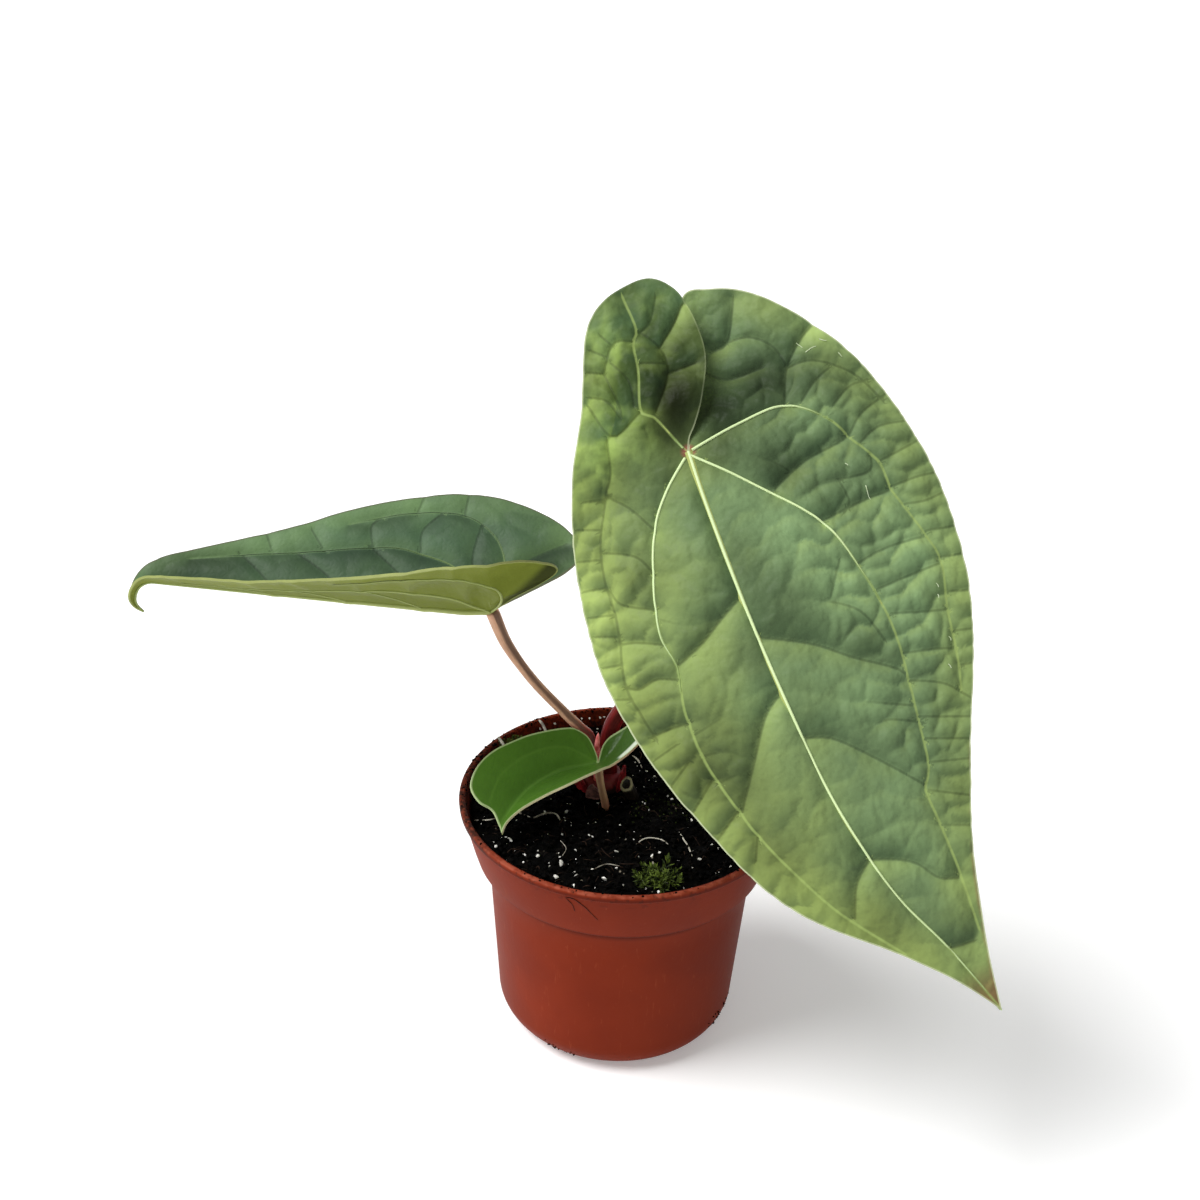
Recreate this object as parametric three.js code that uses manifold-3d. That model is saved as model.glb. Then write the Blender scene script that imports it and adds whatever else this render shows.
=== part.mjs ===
import * as THREE from "three";
import { mergeVertices } from "three/addons/utils/BufferGeometryUtils.js";
import Module from "manifold-3d";

// A young anthurium hybrid in a 90 mm nursery pot, in millimetres with +Z up.
// The origin is the middle of the pot's underside. The big blade faces -Y and hangs towards +X,
// the left blade reaches towards -X, and the small blade lies over the rim at the front left.

const wasm = await Module();
wasm.setup();

// Driving sizes
const GAP = 0.3;
const POT_RADIUS = 45;
const POT_HEIGHT = 71;
const COLLAR_HEIGHT = 17;
const COLLAR_FOOT_RADIUS = 40.2;
const BODY_TOP_RADIUS = 36.9;
const BODY_BASE_RADIUS = 33.5;
const BASE_FILLET = 9;
const WALL = 1.2;
const FLOOR = 1.6;
const LIP = 1.9;
const POT_SIDES = 40;
const DRAIN_HOLES = 6;
const DRAIN_RADIUS = 3.2;
const DRAIN_CIRCLE = 17;

const SOIL_LEVEL = 66.5;
const SOIL_ROUGHNESS = 0.8;
const GRAINS = 26;

const CROWN = new THREE.Vector3(-6.5, 12.2, 0);
const CROWN_RADIUS = 6.4;
const CROWN_BOTTOM = 50;
const CROWN_TOP = 70.5;
const CLEARING = 14;
const SHEATH_THICKNESS = 0.8;
const SHEATH_RADIUS = CROWN_RADIUS + GAP;

const MOSS = new THREE.Vector3(9.6, -32, SOIL_LEVEL);
const MOSS_RADIUS = 4.6;
const MOSS_LEAVES = 34;

// Where each petiole meets its blade
const BIG_JOINT = new THREE.Vector3(12, -6, 179);
const LEFT_JOINT = new THREE.Vector3(-37, 8, 123.7);
const SMALL_JOINT = new THREE.Vector3(-7.3, 1.4, 80.3);

function v3(x, y, z) {
  return new THREE.Vector3(x, y, z);
}

function smoothstep(from, to, x) {
  const t = THREE.MathUtils.clamp((x - from) / (to - from), 0, 1);
  return t * t * (3 - 2 * t);
}

// Seeded random numbers from 0 to 1 (mulberry32)
function randomFrom(seed) {
  let state = seed;
  return () => {
    state = (state + 0x6d2b79f5) | 0;
    let t = Math.imul(state ^ (state >>> 15), 1 | state);
    t = (t + Math.imul(t ^ (t >>> 7), 61 | t)) ^ t;
    return ((t ^ (t >>> 14)) >>> 0) / 4294967296;
  };
}

// Joins equal corners of a list of triangles and drops the triangles that collapse
function weld(triangles) {
  const keys = new Map();
  const positions = [];
  const indices = [];
  const indexOf = (p) => {
    const key = [p.x, p.y, p.z].map((c) => Math.round(c * 1000)).join(",");
    if (!keys.has(key)) {
      keys.set(key, positions.length / 3);
      positions.push(p.x, p.y, p.z);
    }
    return keys.get(key);
  };
  for (const corners of triangles) {
    const [a, b, c] = corners.map(indexOf);
    if (a !== b && b !== c && c !== a) {
      indices.push(a, b, c);
    }
  }
  const geometry = new THREE.BufferGeometry();
  geometry.setAttribute("position", new THREE.Float32BufferAttribute(positions, 3));
  geometry.setIndex(indices);
  return geometry;
}

function toSolid(geometry) {
  const bare = geometry.clone();
  bare.deleteAttribute("normal");
  bare.deleteAttribute("uv");
  const merged = mergeVertices(bare, 1e-4);
  return new wasm.Manifold(new wasm.Mesh({
    numProp: 3,
    vertProperties: new Float32Array(merged.attributes.position.array),
    triVerts: new Uint32Array(merged.index.array),
  }));
}

function toGeometry(solid) {
  const mesh = solid.getMesh();
  const geometry = new THREE.BufferGeometry();
  geometry.setAttribute("position", new THREE.BufferAttribute(mesh.vertProperties, 3));
  geometry.setIndex(new THREE.BufferAttribute(mesh.triVerts, 1));
  return geometry;
}

// A closed skin over rings of equal count, each ring counter-clockwise seen from the last ring's side
function loft(rings) {
  const triangles = [];
  const count = rings[0].length;
  for (let i = 0; i + 1 < rings.length; i += 1) {
    for (let j = 0; j < count; j += 1) {
      const k = (j + 1) % count;
      triangles.push([rings[i][j], rings[i][k], rings[i + 1][k]]);
      triangles.push([rings[i][j], rings[i + 1][k], rings[i + 1][j]]);
    }
  }
  const middle = (ring) => ring.reduce((sum, p) => sum.add(p), v3(0, 0, 0)).divideScalar(count);
  const first = rings[0];
  const last = rings[rings.length - 1];
  const firstMiddle = middle(first);
  const lastMiddle = middle(last);
  for (let j = 0; j < count; j += 1) {
    const k = (j + 1) % count;
    triangles.push([first[k], first[j], firstMiddle]);
    triangles.push([last[j], last[k], lastMiddle]);
  }
  return weld(triangles);
}

// A stem of varying radius along a smooth path
function stem(points, radiusAt, steps, sides = 8) {
  const path = new THREE.CatmullRomCurve3(points, false, "centripetal");
  const frames = path.computeFrenetFrames(steps, false);
  const rings = [];
  for (let i = 0; i <= steps; i += 1) {
    const centre = path.getPointAt(i / steps);
    const radius = radiusAt(i / steps);
    const ring = [];
    for (let j = 0; j < sides; j += 1) {
      const angle = (j / sides) * 2 * Math.PI;
      ring.push(centre.clone()
        .addScaledVector(frames.normals[i], radius * Math.cos(angle))
        .addScaledVector(frames.binormals[i], radius * Math.sin(angle)));
    }
    rings.push(ring);
  }
  return loft(rings);
}

// Pot: one moulded shell with a flared collar under its lip, and drain holes in its floor

function wallProfile(inset, floor) {
  const collarFoot = POT_HEIGHT - COLLAR_HEIGHT;
  const fillet = BASE_FILLET - inset;
  const points = [new THREE.Vector2(0, floor)];
  for (let i = 0; i <= 4; i += 1) {
    const angle = (i / 4) * (Math.PI / 2);
    points.push(new THREE.Vector2(
      BODY_BASE_RADIUS - BASE_FILLET + fillet * Math.sin(angle),
      floor + fillet * (1 - Math.cos(angle)),
    ));
  }
  points.push(new THREE.Vector2(BODY_TOP_RADIUS - inset, collarFoot + inset));
  points.push(new THREE.Vector2(COLLAR_FOOT_RADIUS - inset, collarFoot + inset));
  points.push(new THREE.Vector2(POT_RADIUS - LIP / 2 - inset, POT_HEIGHT - LIP));
  return points;
}

function pot() {
  const outside = wallProfile(0, 0);
  const inside = wallProfile(WALL, FLOOR);
  const lip = [
    new THREE.Vector2(POT_RADIUS, POT_HEIGHT - LIP),
    new THREE.Vector2(POT_RADIUS, POT_HEIGHT - LIP / 4),
    new THREE.Vector2(POT_RADIUS - LIP / 4, POT_HEIGHT),
    new THREE.Vector2(POT_RADIUS - LIP, POT_HEIGHT),
  ];
  const profile = [...outside, ...lip, ...inside.reverse()];
  let solid = toSolid(new THREE.LatheGeometry(profile, POT_SIDES).rotateX(Math.PI / 2));
  for (let i = 0; i < DRAIN_HOLES; i += 1) {
    const angle = (i / DRAIN_HOLES) * 2 * Math.PI;
    const hole = new THREE.CylinderGeometry(DRAIN_RADIUS, DRAIN_RADIUS, 4 * FLOOR, 12)
      .rotateX(Math.PI / 2)
      .translate(DRAIN_CIRCLE * Math.cos(angle), DRAIN_CIRCLE * Math.sin(angle), FLOOR / 2);
    solid = solid.subtract(toSolid(hole));
  }
  return toGeometry(solid);
}

// Petioles, as paths with a radius: thick at the sheathed base, slim above, swollen at the joint

const bigNormal = v3(-0.079, -0.715, 0.695).normalize();
const bigBack = BIG_JOINT.clone().addScaledVector(bigNormal, -3);

const petioles = {
  petiole_large: {
    points: [
      v3(-3.9, 12.8, 65), v3(-3.8, 12.8, 68), v3(-4.3, 12.8, 72), v3(-4.9, 12.8, 77.5), v3(-3.8, 12.6, 85),
      v3(-1.7, 12.3, 90.3), v3(1.4, 11.6, 96.5), v3(5.8, 10, 107.3), v3(10, 7, 128), v3(13, 3.5, 150),
      v3(14, -0.5, 168), bigBack,
    ],
    radius: [2.4, 2.4, 2.2, 2, 1.9, 1.9, 1.9, 2.4],
    steps: 27,
    colour: 0x6e1f1c,
  },
  petiole_left: {
    points: [
      v3(-9.3, 11, 65), v3(-9.3, 11, 69), v3(-9.1, 11, 76.5), v3(-9.9, 11, 82.6), v3(-12.3, 10.9, 85.4),
      v3(-17.2, 10.4, 91), v3(-25.7, 9.4, 101.5), v3(-32.7, 8.6, 112.8), v3(-36.3, 8.1, 122),
    ],
    radius: [1.9, 1.8, 1.6, 1.7, 1.7, 2.1],
    steps: 20,
    colour: 0x9a6a4c,
  },
  petiole_small: {
    points: [v3(-4.4, 0.2, 60), v3(-4.6, 0.2, 66.5), v3(-6.2, 0.6, 73.9), v3(-7.1, 1.1, 78.5)],
    radius: [1.2, 1.1, 1.1, 1.2],
    steps: 8,
    colour: 0xb58a63,
  },
  petiole_stub: {
    points: [v3(4.4, 6.8, 60), v3(2.8, 5.3, 66.5), v3(0.8, 4, 72.2)],
    radius: [2, 1.9, 1.9, 1.9],
    steps: 4,
    colour: 0xa08a6a,
  },
};

function petiole(part, extra = 0) {
  const radiusAt = (t) => {
    const place = t * (part.radius.length - 1);
    const i = Math.min(Math.floor(place), part.radius.length - 2);
    return THREE.MathUtils.lerp(part.radius[i], part.radius[i + 1], place - i) + extra;
  };
  return stem(part.points, radiusAt, part.steps);
}

// Leaf bud: a slim pointed spindle between the petioles

const BUD_PATH = [v3(-7, 8.4, 66), v3(-7.2, 8.2, 73), v3(-7.6, 8, 81), v3(-7.4, 8, 86)];

function bud(extra = 0) {
  const radiusAt = (t) => 0.15 + 1.05 * Math.sqrt(Math.max(1 - t * t, 0)) + extra;
  return stem(BUD_PATH, radiusAt, 8, 6);
}

// Crown: the short thick stem, with a socket for each petiole that grows from it

function crownShape(extra) {
  const levels = [
    [CROWN_BOTTOM - extra, 4], [54, 5.2], [60, 6], [65, CROWN_RADIUS], [69, CROWN_RADIUS],
    [CROWN_TOP, 5.9],
  ];
  const sides = 16;
  const rings = levels.map(([z, radius]) => {
    const ring = [];
    for (let j = 0; j < sides; j += 1) {
      const angle = (j / sides) * 2 * Math.PI;
      ring.push(v3((radius + extra) * Math.cos(angle), (radius + extra) * Math.sin(angle), z).add(CROWN));
    }
    return ring;
  });
  return loft(rings);
}

function crown() {
  let solid = toSolid(crownShape(0));
  for (const name of ["petiole_large", "petiole_left"]) {
    solid = solid.subtract(toSolid(petiole(petioles[name], GAP)));
  }
  return toGeometry(solid.subtract(toSolid(bud(GAP))));
}

// Sheath: a pointed scale leaf curved round the crown, standing just off it
function sheath({ bearing, spread, height, lean, radius }) {
  const rows = 5;
  const columns = 4;
  const base = SOIL_LEVEL + 2 * GAP;
  const at = (across, up, skin) => {
    const width = spread * Math.sqrt(Math.max(1 - up ** 1.7, 0)) + 0.02 * spread;
    const angle = THREE.MathUtils.degToRad(bearing + width * across);
    const reach = radius + skin + lean * up * up;
    return v3(reach * Math.sin(angle), -reach * Math.cos(angle), base + height * up).add(CROWN);
  };
  const rings = [];
  for (let i = 0; i <= rows; i += 1) {
    const ring = [];
    for (let j = 0; j <= columns; j += 1) {
      ring.push(at((2 * j) / columns - 1, i / rows, SHEATH_THICKNESS));
    }
    for (let j = columns; j >= 0; j -= 1) {
      ring.push(at((2 * j) / columns - 1, i / rows, 0));
    }
    rings.push(ring);
  }
  const triangles = [];
  const count = rings[0].length;
  for (let i = 0; i < rows; i += 1) {
    for (let j = 0; j < count; j += 1) {
      const k = (j + 1) % count;
      triangles.push([rings[i][j], rings[i][k], rings[i + 1][k]]);
      triangles.push([rings[i][j], rings[i + 1][k], rings[i + 1][j]]);
    }
  }
  // Ends are strips between the outer and the inner arc
  for (let j = 0; j < columns; j += 1) {
    const m = count - 1 - j;
    const foot = rings[0];
    const top = rings[rows];
    triangles.push([foot[j + 1], foot[j], foot[m]]);
    triangles.push([foot[j + 1], foot[m], foot[m - 1]]);
    triangles.push([top[j], top[j + 1], top[m]]);
    triangles.push([top[j + 1], top[m - 1], top[m]]);
  }
  return weld(triangles);
}

const sheaths = {
  sheath_right: { bearing: 72, spread: 29, height: 7, lean: -0.2, radius: SHEATH_RADIUS, colour: 0x7a201c },
  sheath_left: { bearing: -60, spread: 32, height: 5.4, lean: 0.5, radius: SHEATH_RADIUS, colour: 0x8a3a30 },
  sheath_dry: { bearing: -12, spread: 13, height: 5.5, lean: 0.8, radius: 8.5, colour: 0x5a3a34 },
};

// Soil: fills the pot, lumpy on top, with perlite grains pressed into it

function soilHeight(x, y) {
  const waves = Math.sin(0.31 * x + 1.3) * Math.cos(0.27 * y - 0.4) + 0.6 * Math.sin(0.55 * x - 0.43 * y);
  const fromCrown = Math.hypot(x - CROWN.x, y - CROWN.y);
  return SOIL_LEVEL + SOIL_ROUGHNESS * waves * smoothstep(CLEARING - 3, CLEARING + 8, fromCrown);
}

function mossCushion(extra) {
  return new THREE.SphereGeometry(MOSS_RADIUS + extra, 12, 8).scale(1, 0.85, 0.5).translate(...MOSS.toArray());
}

function soil() {
  const random = randomFrom(7);
  const sides = 36;
  const edge = wallProfile(WALL + GAP, FLOOR + GAP);
  const sideRadii = [1, 3, 5, 6, 7].map((i) => [edge[i].x, edge[i].y]);
  const topRadius = 41.6;
  const topRadii = [topRadius, 38, 34, 30, 26, 22, 18.5, 15, 11, 7, 3];
  const ringOf = (radius, heightAt, roughness) => {
    const ring = [];
    for (let j = 0; j < sides; j += 1) {
      const angle = (j / sides) * 2 * Math.PI;
      const x = radius * Math.cos(angle);
      const y = radius * Math.sin(angle);
      ring.push(v3(x, y, heightAt(x, y) + roughness * (random() - 0.5)));
    }
    return ring;
  };
  const rings = sideRadii.map(([radius, z]) => ringOf(radius, () => z, 0));
  for (const radius of topRadii) {
    rings.push(ringOf(radius, soilHeight, radius > 15 ? SOIL_ROUGHNESS : 0));
  }
  let solid = toSolid(loft(rings));
  for (let i = 0; i < GRAINS; i += 1) {
    const angle = 2 * Math.PI * random();
    const reach = 16 + 22 * Math.sqrt(random());
    const size = 0.9 + 0.7 * random();
    const x = reach * Math.cos(angle);
    const y = reach * Math.sin(angle);
    const grain = new THREE.IcosahedronGeometry(size, 0)
      .rotateX(random() * 3)
      .rotateY(random() * 3)
      .translate(x, y, soilHeight(x, y) + 0.3 * size);
    if (Math.hypot(x - MOSS.x, y - MOSS.y) > MOSS_RADIUS + 2 * size) {
      solid = solid.add(toSolid(grain));
    }
  }
  solid = solid.subtract(toSolid(crownShape(GAP)));
  solid = solid.subtract(toSolid(petiole(petioles.petiole_small, GAP)));
  solid = solid.subtract(toSolid(petiole(petioles.petiole_stub, GAP)));
  solid = solid.subtract(toSolid(mossCushion(GAP)));
  return toGeometry(solid);
}

// Moss: a low cushion with short pointed leaves standing out of it

function moss() {
  const random = randomFrom(21);
  let solid = toSolid(mossCushion(0));
  for (let i = 0; i < MOSS_LEAVES; i += 1) {
    const turn = i * 2.399963;
    const reach = 0.85 * MOSS_RADIUS * Math.sqrt((i + 0.5) / MOSS_LEAVES);
    const length = 2.6 + 1.6 * random();
    const tilt = 0.15 + 0.75 * (reach / MOSS_RADIUS);
    const leaf = new THREE.ConeGeometry(0.55, length, 4)
      .translate(0, length / 2 - 0.6, 0)
      .rotateX(Math.PI / 2)
      .rotateY(tilt)
      .rotateZ(turn)
      .translate(
        MOSS.x + reach * Math.cos(turn),
        MOSS.y + 0.85 * reach * Math.sin(turn),
        MOSS.z + 0.5 * Math.sqrt(Math.max(MOSS_RADIUS ** 2 - reach ** 2, 0)) - 0.3,
      );
    solid = solid.add(toSolid(leaf));
  }
  return toGeometry(solid);
}

// Leaves. A place on a blade is (across, along) in millimetres from the joint, with along growing
// towards the tip. Each half has a margin that runs from the tip round its lobe back to the joint.

function curveThrough(points, samples) {
  const curve = new THREE.SplineCurve(points.map(([x, y]) => new THREE.Vector2(x, y)));
  return curve.getSpacedPoints(samples);
}

function distanceToSegment(p, a, b) {
  const run = b.clone().sub(a);
  const t = THREE.MathUtils.clamp(p.clone().sub(a).dot(run) / Math.max(run.lengthSq(), 1e-9), 0, 1);
  return p.distanceTo(a.clone().addScaledVector(run, t));
}

// How far the blade sinks at a place, so that it stands in pillows between its veins
function quilting(veins, depth, reach) {
  const segments = [];
  for (const vein of veins) {
    for (let i = 0; i + 1 < vein.length; i += 1) {
      segments.push([new THREE.Vector2(...vein[i]), new THREE.Vector2(...vein[i + 1])]);
    }
  }
  return (u, v) => {
    const place = new THREE.Vector2(u, v);
    const nearest = Math.min(...segments.map(([a, b]) => distanceToSegment(place, a, b)));
    return -depth * Math.exp(-nearest / reach) * smoothstep(0, 8, place.length());
  };
}

// Both halves are fans of rows. Each row crosses a half from its root to the margin: the first roots
// run down the midrib to the joint, and the later ones stay at one place in the lobe.
function blade({ midrib, right, left, surface, pillows, thickness, rib, rows, columns, fan, roots }) {
  const step = 0.4;
  const normalAt = (u, v, side) => {
    const du = surface(u + step, v, side).sub(surface(u - step, v, side));
    const dv = surface(u, v + step, side).sub(surface(u, v - step, side));
    return dv.cross(du).normalize();
  };
  const skinAt = ({ x: u, y: v }, side) => {
    const top = surface(u, v, side);
    const normal = normalAt(u, v, side);
    top.addScaledVector(normal, pillows(u, v));
    return [top, top.clone().addScaledVector(normal, -thickness)];
  };
  const ribAt = ({ x: u, y: v }, fullness) => {
    const top = surface(u, v, 1);
    const normal = normalAt(u, v, 1).add(normalAt(u, v, -1)).normalize();
    return [top, top.clone().addScaledVector(normal, -thickness - rib * fullness)];
  };
  const spine = curveThrough(midrib, fan);
  const ribs = spine.map((place, i) => ribAt(place, smoothstep(0, 0.4 * fan, i)));
  const tip = ribs[0];
  const joint = ribs[fan];
  const triangles = [];
  for (const side of [1, -1]) {
    const margin = curveThrough(side > 0 ? right : left, rows);
    const ownRoot = roots ? new THREE.Vector2(...(side > 0 ? roots.right : roots.left)) : spine[fan];
    const rootSkin = roots ? skinAt(ownRoot, side) : joint;
    const skins = margin.map((edge, i) => {
      const root = i <= fan ? spine[i] : ownRoot;
      const row = [i <= fan ? ribs[i] : rootSkin];
      for (let j = 1; j <= columns; j += 1) {
        const place = root.clone().lerp(edge, (j / columns) ** 1.15);
        row.push(i === 0 ? tip : i === rows ? joint : skinAt(place, side));
      }
      return row;
    });
    const add = (a, b, c) => triangles.push(side > 0 ? [a, b, c] : [a, c, b]);
    for (let i = 0; i < rows; i += 1) {
      const [here, next] = [skins[i], skins[i + 1]];
      for (let j = 0; j < columns; j += 1) {
        add(here[j][0], here[j + 1][0], next[j + 1][0]);
        add(here[j][0], next[j + 1][0], next[j][0]);
        add(here[j][1], next[j + 1][1], here[j + 1][1]);
        add(here[j][1], next[j][1], next[j + 1][1]);
      }
      add(next[columns][0], here[columns][0], here[columns][1]);
      add(next[columns][0], here[columns][1], next[columns][1]);
    }
  }
  return weld(triangles);
}

// Big blade: arched from joint to tip, its left half turned back, its lobes overlapping

const BIG_LENGTH = 156;
const BIG_ARCH_RADIUS = 400;
const bigAcross = v3(0.856, 0.309, 0.415);
const bigAlong = bigNormal.clone().cross(bigAcross).negate().normalize();
bigAcross.copy(bigAlong).cross(bigNormal).negate().normalize();

const bigMidrib = [[0, 156], [-4, 137], [-9, 120], [-11, 105], [-11.5, 88], [-10, 66], [-7, 40], [-3, 15], [0, 0]];
const bigMidribCurve = curveThrough(bigMidrib, 80);

function bigMidribAcross(v) {
  const along = THREE.MathUtils.clamp(v, 0, BIG_LENGTH);
  let best = bigMidribCurve[0];
  for (let i = 0; i + 1 < bigMidribCurve.length; i += 1) {
    const [a, b] = [bigMidribCurve[i], bigMidribCurve[i + 1]];
    if (along <= a.y && along >= b.y) {
      best = a.clone().lerp(b, (a.y - along) / Math.max(a.y - b.y, 1e-9));
    }
  }
  return along === 0 ? 0 : best.x;
}

function bigSurface(u, v, side) {
  const t = u - bigMidribAcross(v);
  const lobe = smoothstep(0, 14, -v);
  let height = 0;
  if (side < 0) {
    height = -15 * (Math.max(-t, 0) / 40) ** 1.7 + 4.5 * lobe - 0.08 * Math.max(t, 0) * lobe;
  } else {
    height = -9 * (Math.max(t, 0) / 60) ** 2 - 3.5 * lobe * (1 - smoothstep(14, 40, u));
  }
  const turn = v / BIG_ARCH_RADIUS;
  const normal = bigNormal.clone().multiplyScalar(Math.cos(turn)).addScaledVector(bigAlong, Math.sin(turn));
  return BIG_JOINT.clone()
    .addScaledVector(bigAcross, u)
    .addScaledVector(bigAlong, BIG_ARCH_RADIUS * Math.sin(turn))
    .addScaledVector(bigNormal, -BIG_ARCH_RADIUS * (1 - Math.cos(turn)))
    .addScaledVector(normal, height);
}

const bigVeins = [
  bigMidrib,
  [[0, 0], [9, 13], [20, 31], [22, 45], [22, 60], [19, 75], [13, 95], [9, 99], [7, 119], [4, 136]],
  [[0, 0], [-10, 6], [-17, 13], [-25, 27], [-29, 45], [-34, 69], [-33, 84], [-27, 108], [-18, 126]],
  [[0, 0], [13, -1], [27, 1], [37, 15], [41, 24], [41, 53], [33, 75], [29, 84]],
  [[0, 0], [-5, -16], [0, -25], [5, -36], [6, -46]],
  [[-7, 49], [3, 57], [10, 64], [19, 75]],
  [[-10, 75], [-4, 79], [3, 88], [10, 99]],
  [[-11, 108], [-5, 111], [2, 120]],
  [[-7, 38], [-14, 40], [-28, 45]],
  [[-11, 63], [-16, 66], [-24, 75], [-32, 83]],
  [[-11, 108], [-16, 112], [-21, 119]],
  [[14, 18], [24, 16], [37, 15]],
  [[20, 31], [31, 31], [40, 32]],
  [[27, 1], [33, -8], [41, -14]],
  [[-5, -16], [-14, -14], [-23, -2], [-33, 16], [-38, 32], [-42, 42]],
  [[5, -36], [8, -28], [6, -21], [-2, -14]],
  [[30, -31], [23, -21], [18, -21], [13, -15]],
  [[-17, 12], [-19, 4], [-23, -2]],
  [[-22, 22], [-24, 16], [-30, 10]],
  [[-26, 30], [-34, 19]],
  [[-29, 38], [-38, 32]],
  [[-30, 47], [-42, 42]],
  [[-32, 58], [-42, 57]],
  [[-35, 73], [-42, 78]],
  [[22, 44], [41, 46]],
  [[23, 52], [41, 54]],
  [[24, 59], [37, 65]],
  [[19, 75], [30, 87]],
  [[15, 89], [26, 95]],
  [[37, 15], [53, 9]],
  [[41, 24], [52, 24]],
  [[40, 37], [51, 38]],
];

const bigBlade = {
  midrib: bigMidrib,
  right: [
    [0, 156], [4, 141], [12.5, 118], [24, 97], [41.7, 68], [50.3, 42], [52, 18], [49.7, -1], [43.2, -17.8],
    [34.6, -30.8], [27, -36.8], [20, -39], [13, -28], [7, -14], [4.2, -6.6], [3, -3], [0, 0],
  ],
  left: [
    [0, 156], [-7, 143], [-17, 130], [-31, 113], [-38.3, 96], [-43.6, 72], [-45.6, 54], [-44.8, 36],
    [-38.8, 12], [-30, -6.5], [-18.8, -21], [-7.8, -38], [0, -43.8], [8, -45.2], [14.3, -43.6], [18, -37.7],
    [18.2, -29], [15.6, -18.6], [9.6, -9.8], [4.8, -5], [2, -2.8], [0, 0],
  ],
  surface: bigSurface,
  pillows: quilting(bigVeins, 2.2, 4.5),
  thickness: 0.8,
  rib: 0.7,
  rows: 46,
  columns: 11,
  fan: 27,
  roots: { right: [5, -1.5], left: [-2, -3] },
};

// Left blade: nearly level, folded along its keel, with a drip tip hooked down

const LEFT_KEEL = 91;
const LEFT_HOOK_RADIUS = 6;
const leftAlong = v3(-87, 6, 2.5).normalize();

function leftSurface(u, v, side) {
  const turn = Math.max(v - LEFT_KEEL, 0) / LEFT_HOOK_RADIUS;
  const up = v3(-Math.sin(turn), 0, Math.cos(turn));
  const keel = LEFT_JOINT.clone()
    .addScaledVector(leftAlong, Math.min(v, LEFT_KEEL))
    .add(v3(-Math.sin(turn), 0, Math.cos(turn) - 1).multiplyScalar(LEFT_HOOK_RADIUS));
  const nearSlope = v > 0 ? Math.max(52 - 0.25 * v, 36) : 52 - v;
  const slope = THREE.MathUtils.degToRad(side > 0 ? nearSlope : 34);
  const reach = side > 0 ? u : -u;
  return keel
    .addScaledVector(v3(0, side > 0 ? -1 : 1, 0), reach * Math.cos(slope))
    .addScaledVector(up, reach * Math.sin(slope));
}

function mirrored(lines, stretch) {
  return lines.map((line) => line.map(([u, v]) => [-u * stretch, v]));
}

const leftHalfVeins = [
  [[0, 0], [-11, 9], [-15, 20], [-16, 30], [-12, 53], [-10, 66], [-7, 82]],
  [[0, 0], [-12, -3], [-22, 0], [-28, 9], [-27, 24], [-22, 40]],
  [[0, 18], [-8, 25], [-16, 34]],
  [[0, 38], [-7, 46], [-12, 54]],
  [[0, 58], [-6, 64], [-10, 69]],
  [[-15, 20], [-22, 20], [-28, 15]],
  [[-15, 33], [-22, 34], [-25, 31]],
  [[-13, 46], [-19, 50]],
  [[-11, 60], [-16, 62]],
  [[-9, 5], [-16, 6], [-26, 4]],
  [[-28, 9], [-35, 8]],
  [[-27, 22], [-33, 20]],
  [[-12, -3], [-18, -12], [-22, -19]],
];
const leftMidrib = [[0, 106], [0, 80], [0, 40], [0, 0]];

const leftBlade = {
  midrib: leftMidrib,
  left: [
    [0, 106], [-1.6, 101], [-2.4, 96], [-5, 91.5], [-7.5, 87], [-14.9, 66.5], [-20, 53.3], [-26, 40.2],
    [-30.6, 26.8], [-34, 12], [-34, 0], [-31, -11], [-26.5, -19], [-20, -23.5], [-14, -20], [-8, -12], [0, 0],
  ],
  right: [
    [0, 106], [1.6, 101], [2.2, 96], [5, 91], [8, 86], [13, 74], [18.5, 53], [22.5, 38], [27, 22],
    [30.5, 10], [30.5, 1], [28, -6], [24, -13], [20, -17.5], [15, -13], [9, -6], [0, 0],
  ],
  surface: leftSurface,
  pillows: quilting([leftMidrib, ...leftHalfVeins, ...mirrored(leftHalfVeins, 0.88)], 1.3, 4),
  thickness: 0.8,
  rib: 0.4,
  rows: 34,
  columns: 8,
  fan: 22,
  roots: { right: [6, 0], left: [-2, -1] },
};

// Small blade: a smooth juvenile leaf, folded along its midrib, its lobes turned up

const smallAlong = v3(-1, -1, 0).normalize();
const smallAcross = v3(1, -1, 0).normalize();

function smallMidribAcross(v) {
  return -6 * Math.sin(Math.PI * THREE.MathUtils.clamp(v / 38, 0, 1));
}

function smallSurface(u, v, side) {
  const t = u - smallMidribAcross(v);
  const ahead = Math.max(v, 0);
  const behind = Math.max(-v, 0);
  const fold = 0.7 * Math.max(-t, 0) + 0.4 * Math.max(t, 0);
  const height = fold - 0.005 * ahead * ahead + (side > 0 ? 0.06 : 0.03) * behind * behind;
  return SMALL_JOINT.clone()
    .addScaledVector(smallAlong, v)
    .addScaledVector(smallAcross, u)
    .add(v3(0, 0, height));
}

const smallMidrib = [[0.7, 35.6], [-2.3, 32.5], [-4.7, 26], [-6, 19], [-5, 10], [-2.4, 4], [0, 0]];

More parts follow.
